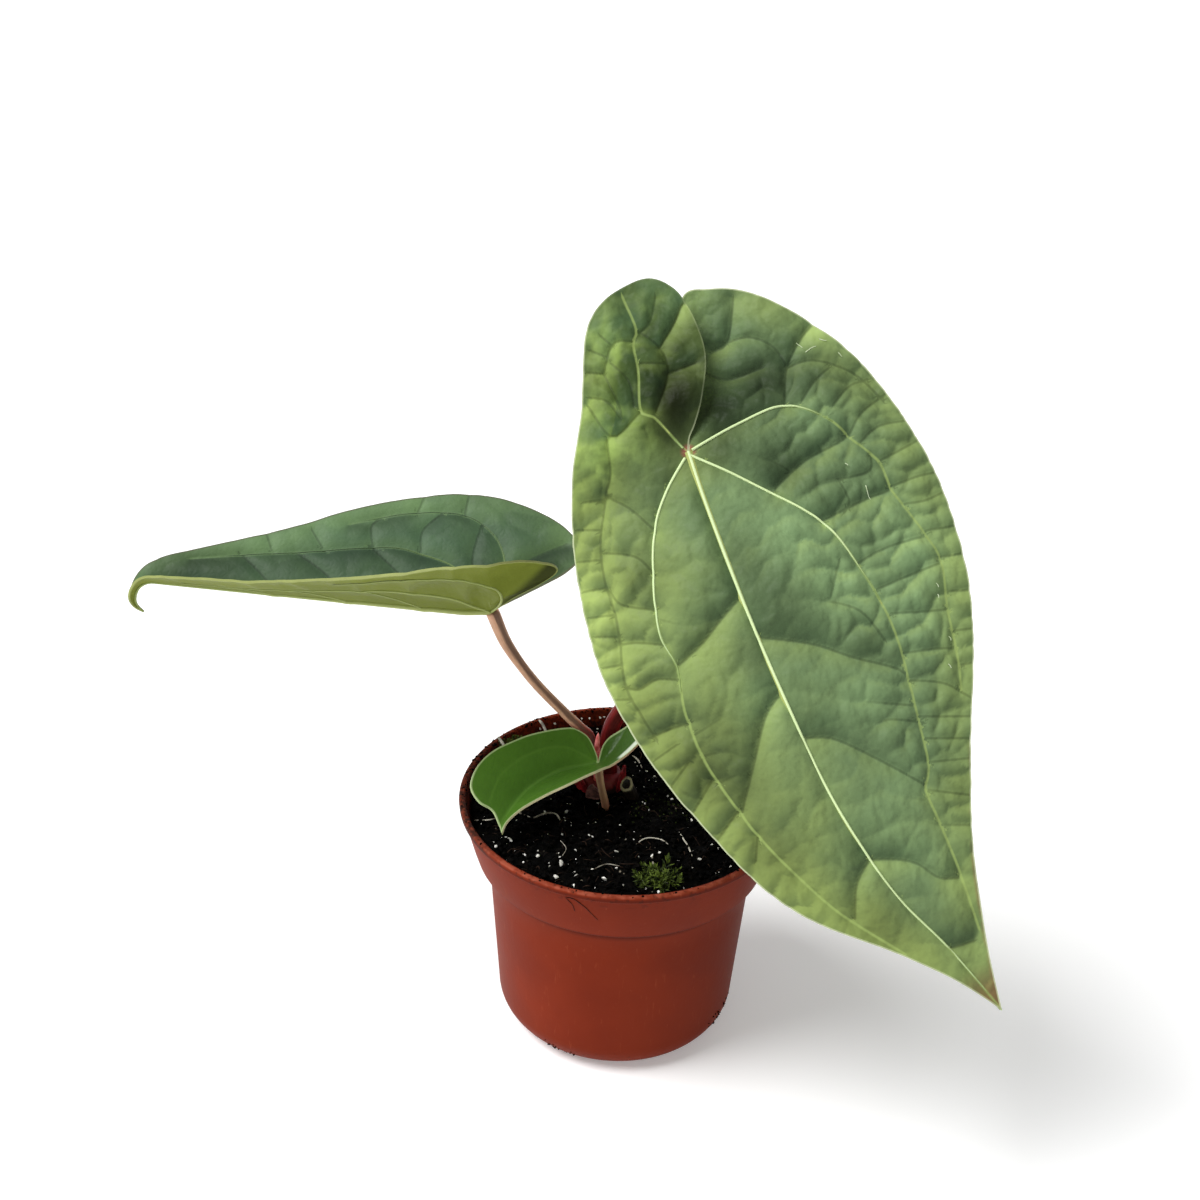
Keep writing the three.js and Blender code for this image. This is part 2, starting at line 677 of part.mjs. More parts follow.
const smallBlade = {
  midrib: smallMidrib,
  left: [
    [0.7, 35.6], [-3, 33.5], [-6, 33], [-9, 35], [-13, 34.4], [-16.3, 29], [-17.4, 22], [-16.2, 14],
    [-14.3, 8.4], [-11.7, 3], [-9.6, -0.2], [-7, -2.1], [-4.6, -2.2], [-1.4, -1.2], [0, 0],
  ],
  right: [
    [0.7, 35.6], [-1.2, 32], [-0.7, 27.5], [2, 21.5], [4.6, 15], [5.2, 7], [4.7, -1], [6.5, -6.5], [8, -10],
    [6, -13.4], [1, -12], [-2.2, -7.6], [-2.6, -4.6], [-1.5, -2.3], [0, 0],
  ],
  surface: smallSurface,
  pillows: quilting([smallMidrib, [[0, 0], [-10, 8], [-12, 22]], [[0, 0], [2, 8], [0, 20]]], 0.35, 3),
  thickness: 0.7,
  rib: 0.4,
  rows: 26,
  columns: 6,
  fan: 15,
};

// The plant and its pot

const plant = new THREE.Group();
plant.name = "potted_anthurium";

function place(name, geometry, colour, roughness) {
  geometry.computeVertexNormals();
  const material = new THREE.MeshStandardMaterial({ color: colour, roughness, metalness: 0 });
  const mesh = new THREE.Mesh(geometry, material);
  mesh.name = name;
  plant.add(mesh);
}

place("pot", pot(), 0x8f3b26, 0.55);
place("soil", soil(), 0x14100d, 0.95);
place("moss_tuft", moss(), 0x45591c, 0.9);
place("crown", crown(), 0x4a1a14, 0.6);
place("leaf_bud", bud(), 0xa8483f, 0.4);
for (const [name, part] of Object.entries(sheaths)) {
  place(name, sheath(part), part.colour, 0.5);
}
for (const [name, part] of Object.entries(petioles)) {
  place(name, petiole(part), part.colour, 0.45);
}
place("blade_large", blade(bigBlade), 0x6a8a4f, 0.5);
place("blade_left", blade(leftBlade), 0x4c6b52, 0.45);
place("blade_small", blade(smallBlade), 0x3c6426, 0.3);

export default plant;
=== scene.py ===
import math

import bmesh
import bpy
import numpy as np
from mathutils import Matrix, Vector, noise


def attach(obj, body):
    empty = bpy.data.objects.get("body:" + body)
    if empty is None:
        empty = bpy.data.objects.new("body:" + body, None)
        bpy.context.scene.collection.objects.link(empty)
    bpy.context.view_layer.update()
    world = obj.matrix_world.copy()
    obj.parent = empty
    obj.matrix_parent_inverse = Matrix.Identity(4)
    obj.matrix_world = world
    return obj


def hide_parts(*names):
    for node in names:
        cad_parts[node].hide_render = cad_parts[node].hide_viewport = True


# A young anthurium hybrid in a small nursery pot. Sizes are in millimetres, in the model's own frame,
# and become metres where a mesh is made.

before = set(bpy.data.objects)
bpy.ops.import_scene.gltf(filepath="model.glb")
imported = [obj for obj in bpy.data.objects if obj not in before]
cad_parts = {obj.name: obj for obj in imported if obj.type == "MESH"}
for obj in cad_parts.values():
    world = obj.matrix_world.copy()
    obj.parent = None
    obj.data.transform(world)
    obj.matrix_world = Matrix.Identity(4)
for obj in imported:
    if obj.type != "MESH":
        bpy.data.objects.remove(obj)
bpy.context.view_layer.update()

MM = 0.001


def arr(*values):
    return np.array(values, float)


def unit(vector):
    return np.array(vector, float) / np.linalg.norm(vector)


def unit_rows(vectors):
    return vectors / np.linalg.norm(vectors, axis=1, keepdims=True)


def smoothstep(low, high, x):
    t = np.clip((x - low) / (high - low), 0, 1)
    return t * t * (3 - 2 * t)


def shade(colour):
    """A colour as a screen shows it, from 0 to 255, turned into the renderer's own values."""
    parts = np.array(colour) / 255
    linear = np.where(parts < 0.04045, parts / 12.92, ((parts + 0.055) / 1.055) ** 2.4)
    return (*linear.tolist(), 1.0)


def full_turn(steps):
    """Angles at equal steps once round."""
    return np.arange(steps) / steps * 2 * np.pi


def round_axis(radius, angle, z, middle=(0, 0)):
    """Places round an upright axis."""
    return np.stack([middle[0] + radius * np.cos(angle), middle[1] + radius * np.sin(angle), z + 0 * angle], -1)


SPAN_STEPS = 60


def spline(points, count):
    """Places at equal distances along a smooth curve through the points."""
    p = np.array(points, float)
    last = len(p) - 1
    t = np.linspace(0, last, SPAN_STEPS * last + 1)
    i = np.minimum(t.astype(int), last - 1)
    w = (t - i)[:, None]
    before, a, b, after = p[np.maximum(i - 1, 0)], p[i], p[i + 1], p[np.minimum(i + 2, last)]
    leave, arrive = (b - before) / 2, (after - a) / 2
    curve = (2 * a - 2 * b + leave + arrive) * w**3 + (3 * b - 3 * a - 2 * leave - arrive) * w**2 + leave * w + a
    run = np.r_[0, np.cumsum(np.linalg.norm(np.diff(curve, axis=0), axis=1))]
    marks = np.linspace(0, run[-1], count + 1)
    return np.stack([np.interp(marks, run, curve[:, k]) for k in range(p.shape[1])], 1)


# The camera of the photograph, whose frame is 1200 by 1200 pixels

IMAGE_MIDDLE = 600
FOCAL_PIXELS = 2000
SENSOR_WIDTH = 36
CAMERA_PLACE = arr(-8.3, -449.6, 391.2)
CAMERA_DROP = math.radians(29.9)
CAMERA_ROLL = math.radians(2.1)

ahead = arr(0, math.cos(CAMERA_DROP), -math.sin(CAMERA_DROP))
level, upright = arr(1, 0, 0), np.cross(arr(1, 0, 0), ahead)
rightward = math.cos(CAMERA_ROLL) * level + math.sin(CAMERA_ROLL) * upright
upward = math.cos(CAMERA_ROLL) * upright - math.sin(CAMERA_ROLL) * level


def in_photo(points):
    """The pixels of points in space."""
    away = np.asarray(points, float) - CAMERA_PLACE
    depth = away @ ahead
    return np.stack([IMAGE_MIDDLE + FOCAL_PIXELS * (away @ rightward) / depth,
                     IMAGE_MIDDLE - FOCAL_PIXELS * (away @ upward) / depth], -1)


def at_height(pixels, z):
    """The points at a height that the camera sees at these pixels."""
    across, down = (np.array(pixels, float).T - IMAGE_MIDDLE) / FOCAL_PIXELS
    rays = across[:, None] * rightward - down[:, None] * upward + ahead
    return CAMERA_PLACE + rays * ((z - CAMERA_PLACE[2]) / rays[:, 2])[:, None]


def add_camera():
    camera = bpy.data.objects.new("camera", bpy.data.cameras.new("camera"))
    bpy.context.scene.collection.objects.link(camera)
    axes = Matrix((rightward, upward, -ahead)).transposed()
    camera.matrix_world = Matrix.Translation(Vector(CAMERA_PLACE * MM)) @ axes.to_4x4()
    camera.data.sensor_width = SENSOR_WIDTH
    camera.data.lens = SENSOR_WIDTH * FOCAL_PIXELS / (2 * IMAGE_MIDDLE)
    camera.data.clip_start = 0.01
    bpy.context.scene.camera = camera


# Trees of nodes, for finishes and for shapes that repeat

class Signal:
    """A value on its way through a tree, so that its maths reads as plain arithmetic."""

    def __init__(self, nodes, socket):
        self.nodes = nodes
        self.socket = socket

    def math(self, operation, *others):
        return self.nodes.add("ShaderNodeMath", {"operation": operation}, dict(enumerate((self, *others))))

    def __add__(self, other):
        return self.math("ADD", other)

    def __mul__(self, other):
        return self.math("MULTIPLY", other)

    def __sub__(self, other):
        return self.math("SUBTRACT", other)

    def __rsub__(self, other):
        return self.math("MULTIPLY_ADD", -1.0, other)

    __radd__ = __add__
    __rmul__ = __mul__

    def step(self, low, high):
        """0 below low and 1 above high, or the other way round where low is the larger."""
        ends = (low, high) if low < high else (high, low)
        sockets = {"Value": self, "From Min": ends[0], "From Max": ends[1]}
        rise = self.nodes.add("ShaderNodeMapRange", {"interpolation_type": "SMOOTHSTEP"}, sockets)
        return rise if low < high else 1 - rise


class Nodes:
    """A node tree that grows by type, settings and sockets."""

    def __init__(self, tree):
        self.tree = tree

    def add(self, kind, settings=None, sockets=None, output=0):
        node = self.tree.nodes.new(kind)
        for name, value in (settings or {}).items():
            setattr(node, name, value)
        for name, value in (sockets or {}).items():
            by_identifier = [s for s in node.inputs if s.identifier == name]
            socket = by_identifier[0] if by_identifier else node.inputs[name]
            if isinstance(value, Signal):
                self.tree.links.new(value.socket, socket)
            else:
                socket.default_value = value
        if not node.outputs:
            return None
        found = [s for s in node.outputs if s.identifier == output]
        return Signal(self, found[0] if found else node.outputs[output])


class Finish(Nodes):
    """A material in the making."""

    def __init__(self, name):
        self.material = bpy.data.materials.new(name)
        self.material.use_nodes = True
        super().__init__(self.material.node_tree)
        self.tree.nodes.clear()
        self.place = self.add("ShaderNodeTexCoord", output="Object")

    def attribute(self, name, output="Fac"):
        return self.add("ShaderNodeAttribute", {"attribute_name": name}, output=output)

    def attributes(self, names):
        return [self.attribute(name) for name in names.split()]

    def height(self, axis=2):
        """Height over the ground in millimetres, or the distance along another axis."""
        return self.add("ShaderNodeSeparateXYZ", sockets={0: self.place}, output=axis) * 1000

    def grain(self, size, detail=2.0, stretch=(1, 1, 1), distortion=0.0):
        """Soft noise from 0 to 1 with lumps of about this size in millimetres."""
        scale = [s * 1000 / size for s in stretch]
        where = self.add("ShaderNodeMapping", sockets={"Vector": self.place, "Scale": scale})
        sockets = {"Vector": where, "Scale": 1.0, "Detail": detail, "Distortion": distortion}
        return self.add("ShaderNodeTexNoise", sockets=sockets)

    def cells(self, size, feature="DISTANCE_TO_EDGE"):
        """Distances in a random network of cells of about this size in millimetres."""
        sockets = {"Vector": self.place, "Scale": 1000 / size}
        return self.add("ShaderNodeTexVoronoi", {"feature": feature}, sockets)

    def mix(self, factor, *colours):
        """Two colours, each a signal, a triple as a screen shows it, or the renderer's own four values."""
        a, b = (shade(c) if isinstance(c, tuple) and len(c) == 3 else c for c in colours)
        sockets = {"Factor_Float": factor, "A_Color": a, "B_Color": b}
        return self.add("ShaderNodeMix", {"data_type": "RGBA"}, sockets, "Result_Color")

    def darken(self, colour, factor):
        """The colour times a value that varies."""
        grey = self.add("ShaderNodeCombineXYZ", sockets={0: factor, 1: factor, 2: factor})
        return self.add("ShaderNodeVectorMath", {"operation": "MULTIPLY"}, {0: colour, 1: grey})

    def bump(self, height, depth):
        """A normal for a relief of this depth in millimetres."""
        return self.add("ShaderNodeBump", sockets={"Height": height, "Distance": depth * MM, "Strength": 1.0})

    def done(self, colour, roughness, normal=None, **fixed):
        sockets = {"Base Color": colour, "Roughness": roughness}
        if normal:
            sockets["Normal"] = normal
        sockets.update({name.replace("_", " "): value for name, value in fixed.items()})
        surface = self.add("ShaderNodeBsdfPrincipled", sockets=sockets)
        self.add("ShaderNodeOutputMaterial", sockets={"Surface": surface})
        return self.material


class Shape(Nodes):
    """A geometry tree in the making, with named inputs."""

    def __init__(self, name, inputs):
        super().__init__(bpy.data.node_groups.new(name, "GeometryNodeTree"))
        for label, kind in {"Geometry": "Geometry", **inputs}.items():
            self.tree.interface.new_socket(label, in_out="INPUT", socket_type="NodeSocket" + kind)
        self.tree.interface.new_socket("Geometry", in_out="OUTPUT", socket_type="NodeSocketGeometry")
        self.start = self.tree.nodes.new("NodeGroupInput")

    def given(self, label):
        return Signal(self, self.start.outputs[label])

    def named(self, name):
        return self.add("GeometryNodeInputNamedAttribute", {"data_type": "FLOAT"}, {"Name": name})

    def done(self, geometry, smooth):
        whole = self.add("GeometryNodeRealizeInstances", sockets={"Geometry": geometry})
        smoothed = self.add("GeometryNodeSetShadeSmooth", sockets={"Geometry": whole, "Shade Smooth": smooth})
        sockets = {"Geometry": smoothed, "Material": self.given("Finish")}
        painted = self.add("GeometryNodeSetMaterial", sockets=sockets)
        self.add("NodeGroupOutput", sockets={"Geometry": painted})
        return self.tree


def strand_tree():
    """A round strand along every line, as thick as its points say."""
    shape = Shape("strand_along_line", {"Sides": "Int", "Finish": "Material"})
    curve = shape.add("GeometryNodeMeshToCurve", sockets={"Mesh": shape.given("Geometry")})
    ring = shape.add("GeometryNodeCurvePrimitiveCircle", sockets={
        "Resolution": shape.given("Sides"), "Radius": 1.0})
    tube = shape.add("GeometryNodeCurveToMesh", sockets={
        "Curve": curve, "Profile Curve": ring, "Scale": shape.named("radius"), "Fill Caps": True})
    return shape.done(tube, True)


def strewn_tree():
    """A piece on every point, turned and stretched at random and then crumpled."""
    shape = Shape("strewn_grains", {"Piece": "Object", "Stretch": "Float", "Tumble": "Float", "Crumple": "Float",
                                    "Seed": "Int", "Finish": "Material"})
    seed, stretch, tumble = shape.given("Seed"), shape.given("Stretch"), shape.given("Tumble")
    vector = {"data_type": "FLOAT_VECTOR"}
    piece = shape.add("GeometryNodeObjectInfo", sockets={"Object": shape.given("Piece")}, output="Geometry")
    either_way = {"Min": (-1, -1, -1), "Max": (1, 1, 1)}
    spin = shape.add("FunctionNodeRandomValue", vector, {**either_way, "Seed": seed}, output="Value")
    reach = shape.add("ShaderNodeCombineXYZ", sockets={0: tumble, 1: tumble, 2: math.pi})
    angles = shape.add("ShaderNodeVectorMath", {"operation": "MULTIPLY"}, {0: spin, 1: reach})
    turn = shape.add("FunctionNodeEulerToRotation", sockets={"Euler": angles})
    odd = shape.add("FunctionNodeRandomValue", vector, {**either_way, "Seed": seed + 7}, output="Value")
    scaled = shape.add("ShaderNodeVectorMath", {"operation": "SCALE"}, {0: odd, "Scale": stretch})
    shifted = shape.add("ShaderNodeVectorMath", {"operation": "ADD"}, {0: scaled, 1: (1, 1, 1)})
    size = shape.add("ShaderNodeVectorMath", {"operation": "SCALE"}, {0: shifted, "Scale": shape.named("size")})
    placed = shape.add("GeometryNodeInstanceOnPoints", sockets={
        "Points": shape.given("Geometry"), "Instance": piece, "Rotation": turn, "Scale": size})
    loose = shape.add("GeometryNodeRealizeInstances", sockets={"Geometry": placed})
    lumps = shape.add("ShaderNodeTexNoise", sockets={
        "Vector": shape.add("GeometryNodeInputPosition"), "Scale": 700.0, "Detail": 1.0}, output="Color")
    centred = shape.add("ShaderNodeVectorMath", {"operation": "SUBTRACT"}, {0: lumps, 1: (0.5, 0.5, 0.5)})
    push = shape.add("ShaderNodeVectorMath", {"operation": "SCALE"}, {0: centred, "Scale": shape.given("Crumple")})
    crumpled = shape.add("GeometryNodeSetPosition", sockets={"Geometry": loose, "Offset": push})
    return shape.done(crumpled, False)


# Meshes and pieces

def make_piece(name, points, faces, finishes=(), slots=None, values=None, edges=(), sharp=None):
    """A linked object with its mesh in metres, from points in millimetres."""
    mesh = bpy.data.meshes.new(name)
    if isinstance(faces, np.ndarray):
        faces = faces.tolist()
    mesh.from_pydata((np.asarray(points, float) * MM).tolist(), list(edges), faces)
    for finish in finishes:
        mesh.materials.append(finish)
    if slots is not None:
        mesh.polygons.foreach_set("material_index", np.asarray(slots, np.int32))
    if len(faces):
        mesh.polygons.foreach_set("use_smooth", np.ones(len(faces), bool))
    for label, data in (values or {}).items():
        data = np.asarray(data, np.float32)
        kind, key = ("FLOAT", "value") if data.ndim == 1 else ("FLOAT_VECTOR", "vector")
        mesh.attributes.new(label, kind, "POINT").data.foreach_set(key, data.ravel())
    if sharp:
        mesh.set_sharp_from_angle(angle=math.radians(sharp))
    mesh.update()
    piece = bpy.data.objects.new(name, mesh)
    bpy.context.scene.collection.objects.link(piece)
    return piece


def applied(piece):
    """Turns the piece's modifiers into its plain mesh."""
    graph = bpy.context.evaluated_depsgraph_get()
    mesh = bpy.data.meshes.new_from_object(piece.evaluated_get(graph))
    piece.modifiers.clear()
    old, piece.data = piece.data, mesh
    bpy.data.meshes.remove(old)
    mesh.name = piece.name
    return piece


def shaped(piece, tree, inputs):
    """Runs a geometry tree on the piece and keeps the result as its mesh."""
    modifier = piece.modifiers.new(tree.name, "NODES")
    modifier.node_group = tree
    for item in tree.interface.items_tree:
        if item.in_out == "INPUT" and item.name in inputs:
            modifier[item.identifier] = inputs[item.name]
    return applied(piece)


def settle(piece, slot, *nodes):
    """The piece rides on the plant's one body and stands for these nodes."""
    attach(piece, "root")
    if nodes:
        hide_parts(*nodes)
    return piece


def strands(name, lines, finish, sides=8):
    """Lines are arrays of x, y, z and radius, and of how pale they are where that varies."""
    points = np.vstack(lines)
    values = {"radius": points[:, 3] * MM, "pale": points[:, 4] if points.shape[1] > 4 else points[:, 3] * 0}
    starts = np.cumsum([0] + [len(line) for line in lines[:-1]])
    edges = [(s + i, s + i + 1) for s, line in zip(starts.tolist(), lines) for i in range(len(line) - 1)]
    piece = make_piece(name, points[:, :3], [], values=values, edges=edges)
    return shaped(piece, STRAND, {"Sides": sides, "Finish": finish})


def strewn(name, places, sizes, piece, finish, stretch, tumble, crumple, seed):
    """A piece on each place, as large as its size in millimetres, stretched by up to a part of it, tilted
    by up to tumble and pushed out of shape by about crumple millimetres."""
    carrier = make_piece(name, places, [], values={"size": np.asarray(sizes)})
    return shaped(carrier, STREWN, {"Piece": piece, "Stretch": stretch, "Tumble": tumble,
                                    "Crumple": crumple * MM, "Seed": seed, "Finish": finish})


def rings_mesh(rings, closed_ends=True):
    """Points and faces for a skin over rings of equal count, with a fan over each end where it closes."""
    count, sides = rings.shape[:2]
    index = np.arange(count * sides).reshape(count, sides)
    here, over = index[:-1], index[1:]
    quads = np.stack([here, np.roll(here, -1, 1), np.roll(over, -1, 1), over], -1).reshape(-1, 4).tolist()
    points = rings.reshape(-1, 3)
    if closed_ends:
        first, last = index[0], index[-1]
        points = np.vstack([points, rings[0].mean(0), rings[-1].mean(0)])
        quads += [[b, a, count * sides] for a, b in zip(first.tolist(), np.roll(first, -1).tolist())]
        quads += [[a, b, count * sides + 1] for a, b in zip(last.tolist(), np.roll(last, -1).tolist())]
    return points, quads


# The three blades. A place on a blade is (across, along) in millimetres from its joint, with along
# growing towards the tip; side is 1 on the right half and -1 on the left.

BIG_JOINT = arr(12, -6, 179)
BIG_ARCH = 400
BIG_LENGTH = 156
BLADE_THICKNESS = 0.6
big_normal = unit((-0.079, -0.715, 0.695))
big_across = arr(0.856, 0.309, 0.415)
big_along = unit(-np.cross(big_normal, big_across))
big_across = unit(-np.cross(big_along, big_normal))
BIG_MIDRIB = [(0, BIG_LENGTH), (-4, 137), (-9, 120), (-11, 105), (-11.5, 88), (-10, 66), (-7, 40), (-3, 15), (0, 0)]
big_midrib_curve = spline(BIG_MIDRIB, 80)[::-1]


def from_midrib(across, along):
    """How far to the right of the big blade's curved midrib."""
    return across - np.interp(np.clip(along, 0, BIG_LENGTH), big_midrib_curve[:, 1], big_midrib_curve[:, 0])


def big_surface(u, v, side):
    """The big blade hangs in an arch; its left half turns back and its right one bows down."""
    t = from_midrib(u, v)
    lobe = smoothstep(0, 14, -v)
    turned_back = -15 * (np.maximum(-t, 0) / 40) ** 1.7 + 4.5 * lobe - 0.08 * np.maximum(t, 0) * lobe
    bowed = -9 * (np.maximum(t, 0) / 60) ** 2 - 3.5 * lobe * (1 - smoothstep(14, 40, u))
    height = np.where(side < 0, turned_back, bowed)
    turn = v / BIG_ARCH
    normal = big_normal * np.cos(turn)[:, None] + big_along * np.sin(turn)[:, None]
    return (BIG_JOINT + big_across * u[:, None] + big_along * (BIG_ARCH * np.sin(turn))[:, None]
            - big_normal * (BIG_ARCH * (1 - np.cos(turn)))[:, None] + normal * height[:, None])


LEFT_JOINT = arr(-37, 8, 123.7)
LEFT_KEEL = 91
LEFT_HOOK = 6
left_along = unit((-87, 6, 2.5))


def left_surface(u, v, side):
    """The left blade is folded along a straight keel that ends in a hook."""
    turn = np.maximum(v - LEFT_KEEL, 0) / LEFT_HOOK
    flat = np.zeros_like(turn)
    up = np.stack([-np.sin(turn), flat, np.cos(turn)], -1)
    hook = np.stack([-np.sin(turn), flat, np.cos(turn) - 1], -1)
    keel = LEFT_JOINT + left_along * np.minimum(v, LEFT_KEEL)[:, None] + LEFT_HOOK * hook
    near = np.where(v > 0, np.maximum(52 - 0.25 * v, 36), 52 - v)
    slope = np.radians(np.where(side > 0, near, 34))
    reach = np.where(side > 0, u, -u)
    out = np.stack([flat, np.where(side > 0, -1, 1) * np.cos(slope), flat], -1)
    return keel + out * reach[:, None] + up * (reach * np.sin(slope))[:, None]


SMALL_JOINT = arr(-7.3, 1.4, 80.3)
small_along = unit((-1, -1, 0))
small_across = unit((1, -1, 0))


def small_surface(u, v, side):
    """The small blade lies nearly flat, a little folded along its curved midrib."""
    t = u + 6 * np.sin(np.pi * np.clip(v / 38, 0, 1))
    front, behind = np.maximum(v, 0), np.maximum(-v, 0)
    soft = np.sqrt(t**2 + 0.5)
    fold = 0.35 * (soft - t) + 0.2 * (soft + t)
    height = fold - 0.005 * front**2 + np.where(side > 0, 0.06, 0.03) * behind**2
    return SMALL_JOINT + small_along * v[:, None] + small_across * u[:, None] + arr(0, 0, 1) * height[:, None]


def at(surface, places, side):
    """The points in space of places on one half of a blade."""
    return surface(places[:, 0], places[:, 1], np.full(len(places), side))


def normals_at(surface, places, side):
    """The directions that the skin faces, found over a small step."""
    step = 0.4
    along = at(surface, places + (0, step), side) - at(surface, places - (0, step), side)
    across = at(surface, places + (step, 0), side) - at(surface, places - (step, 0), side)
    return unit_rows(np.cross(along, across))


def line_gap(places, line):
    """The distance from each place to a line, the way from the line to it, and the distance again with
    a sign for the side of the line."""
    best, way, hand = np.full(len(places), 1e9), np.zeros((len(places), 2)), np.zeros(len(places))
    for a, b in zip(line[:-1], line[1:]):
        run = b - a
        t = np.clip((places - a) @ run / max(run @ run, 1e-9), 0, 1)
        off = places - a - t[:, None] * run
        far = np.hypot(off[:, 0], off[:, 1])
        closer = far < best
        best[closer], way[closer] = far[closer], off[closer]
        hand[closer] = np.sign(run[0] * off[:, 1] - run[1] * off[:, 0])[closer]
    return best, way, hand * best


OTHER_CELLS = 4
PLACES_AT_ONCE = 4000


class Relief:
    """How a blade stands at its places and how it lies to its veins there, with the painted light and painted shade
    that its finish puts beside the veins. Every line adds its own furrow, so that nothing jumps halfway between
    two lines."""

    def __init__(self, places, downhill):
        self.places, self.downhill = places, unit(downhill)
        self.sunk, self.painted_light, self.painted_shade, self.hand, self.weight = np.zeros((5, len(places)))
        self.gap = np.full(len(places), 1e9)

    def furrow(self, gap, way, depth, reach, lean, share):
        """The blade sinks towards a line, steeply above it and gently below it. Light is painted just below the
        line and shade just above it.
        """
        side = way @ self.downhill / (gap + 0.25)
        self.sunk += (depth * np.exp(-np.sqrt(gap**2 + 0.1) / (reach * (1 + lean * side)))) ** 4
        self.painted_light = np.maximum(self.painted_light, share * side * np.exp(-gap / (1.2 * reach)))
        self.painted_shade = np.maximum(self.painted_shade, -share * side * np.exp(-gap / (2.0 * reach)))

    def veins(self, lines, depth, reach, share, lean=0.5):
        """Adds these lines, and gives the distance to the nearest of them."""
        nearest = np.full(len(self.places), 1e9)
        for line in lines:
            gap, way, hand = line_gap(self.places, line)
            self.furrow(gap, way, depth, reach, lean, share)
            closer = gap < self.gap
            self.gap, self.hand = np.where(closer, gap, self.gap), np.where(closer, hand, self.hand)
            self.weight = np.where(closer, share, self.weight)
            nearest = np.minimum(nearest, gap)
        return nearest

    def cells(self, places, spacing, seed, depth, reach, share, lean=0.5):
        """Adds the borders of a random network of cells."""
        random = np.random.default_rng(seed)
        low, high = places.min(0) - 2 * spacing, places.max(0) + 2 * spacing
        steps = [np.arange(a, b, spacing) for a, b in zip(low, high)]
        grid = np.stack(np.meshgrid(*steps), -1).reshape(-1, 2)
        seeds = grid + spacing * random.uniform(-0.45, 0.45, grid.shape)
        gaps, ways = np.empty((OTHER_CELLS, len(places))), np.empty((OTHER_CELLS, len(places), 2))
        for i in range(0, len(places), PLACES_AT_ONCE):
            chunk = slice(i, i + PLACES_AT_ONCE)
            part = places[chunk]
            far = np.hypot(part[:, :1] - seeds[:, 0], part[:, 1:] - seeds[:, 1])
            order = np.argsort(far, axis=1)[:, :OTHER_CELLS + 1]
            own = seeds[order[:, 0]]
            for k in range(OTHER_CELLS):
                other = seeds[order[:, k + 1]]
                across = unit_rows(other - own)
                gaps[k, chunk] = (((own + other) / 2 - part) * across).sum(1)
                ways[k, chunk] = -across
        for gap, way in zip(gaps, ways):
            self.furrow(gap, way * gap[:, None], depth, reach, lean, share)

    def values(self, rise, calm, vein):
        """What the blade's form and finish need; slope is the painted light less the painted shade, and calm fades
        the relief where it is 0.
        """
        return {"height": (rise - self.sunk**0.25) * calm, "vein": vein, "gap": self.gap, "hand": self.hand,
                "weight": self.weight * calm, "slope": (self.painted_light - self.painted_shade) * calm}


# Veins of the big blade as the photograph shows them, in its pixels

BIG_DIVIDE = [(715, 280), (706, 380), (691, 450), (700, 490), (720, 540), (740, 600), (768, 662), (778, 695),
              (808, 738), (830, 795), (872, 860), (915, 913), (950, 952), (978, 985), (1000, 1010)]
BIG_BASAL = [
    [(690, 455), (745, 479), (822, 521), (860, 565), (890, 618), (910, 680), (930, 765), (926, 787),
     (942, 825), (958, 865), (968, 895), (980, 930)],
    [(685, 458), (665, 492), (653, 532), (653, 600), (660, 640), (676, 667), (685, 715), (705, 765),
     (740, 815), (770, 850), (810, 890), (840, 915), (880, 940), (905, 955)],
    [(692, 450), (735, 424), (785, 404), (828, 418), (848, 434), (880, 460), (893, 488), (925, 532),
     (942, 560), (949, 605), (958, 650), (962, 690)],
    [(683, 448), (655, 418), (640, 410), (638, 370), (633, 343), (636, 328), (622, 295)],
]
BIG_LATERAL = [
    [(762, 637), (815, 644), (855, 657), (900, 669), (910, 680)],
    [(808, 738), (835, 739), (880, 760), (927, 785)],
    [(872, 860), (900, 860), (920, 865), (940, 878), (960, 878)],
    [(739, 598), (720, 620), (700, 645), (677, 666)], [(778, 697), (765, 718), (753, 765), (741, 813)],
    [(870, 860), (857, 885), (855, 920)], [(776, 487), (805, 460), (840, 441), (848, 434)],
    [(822, 521), (862, 500), (893, 488)], [(785, 404), (787, 365), (803, 335), (815, 322)],
    [(950, 950), (975, 942)], [(640, 410), (612, 437), (587, 406)],
    [(636, 328), (660, 347), (668, 372), (656, 410)], [(660, 345), (672, 325), (682, 303)],
    [(733, 298), (727, 340), (712, 350)], [(653, 530), (628, 508), (606, 497)],
    [(653, 575), (635, 557), (603, 553)], [(654, 610), (620, 605), (608, 592)],
    [(661, 645), (635, 643), (618, 645)], [(676, 680), (655, 680), (637, 690), (624, 688)],
    [(690, 723), (668, 730), (650, 738)], [(710, 782), (693, 812)], [(737, 812), (717, 840)],
    [(757, 837), (755, 862)],
    [(606, 440), (610, 475), (604, 497), (599, 540), (603, 580), (614, 620), (618, 645), (624, 688),
     (640, 718), (655, 742)],
    [(787, 365), (815, 358), (855, 372), (885, 400)],
]
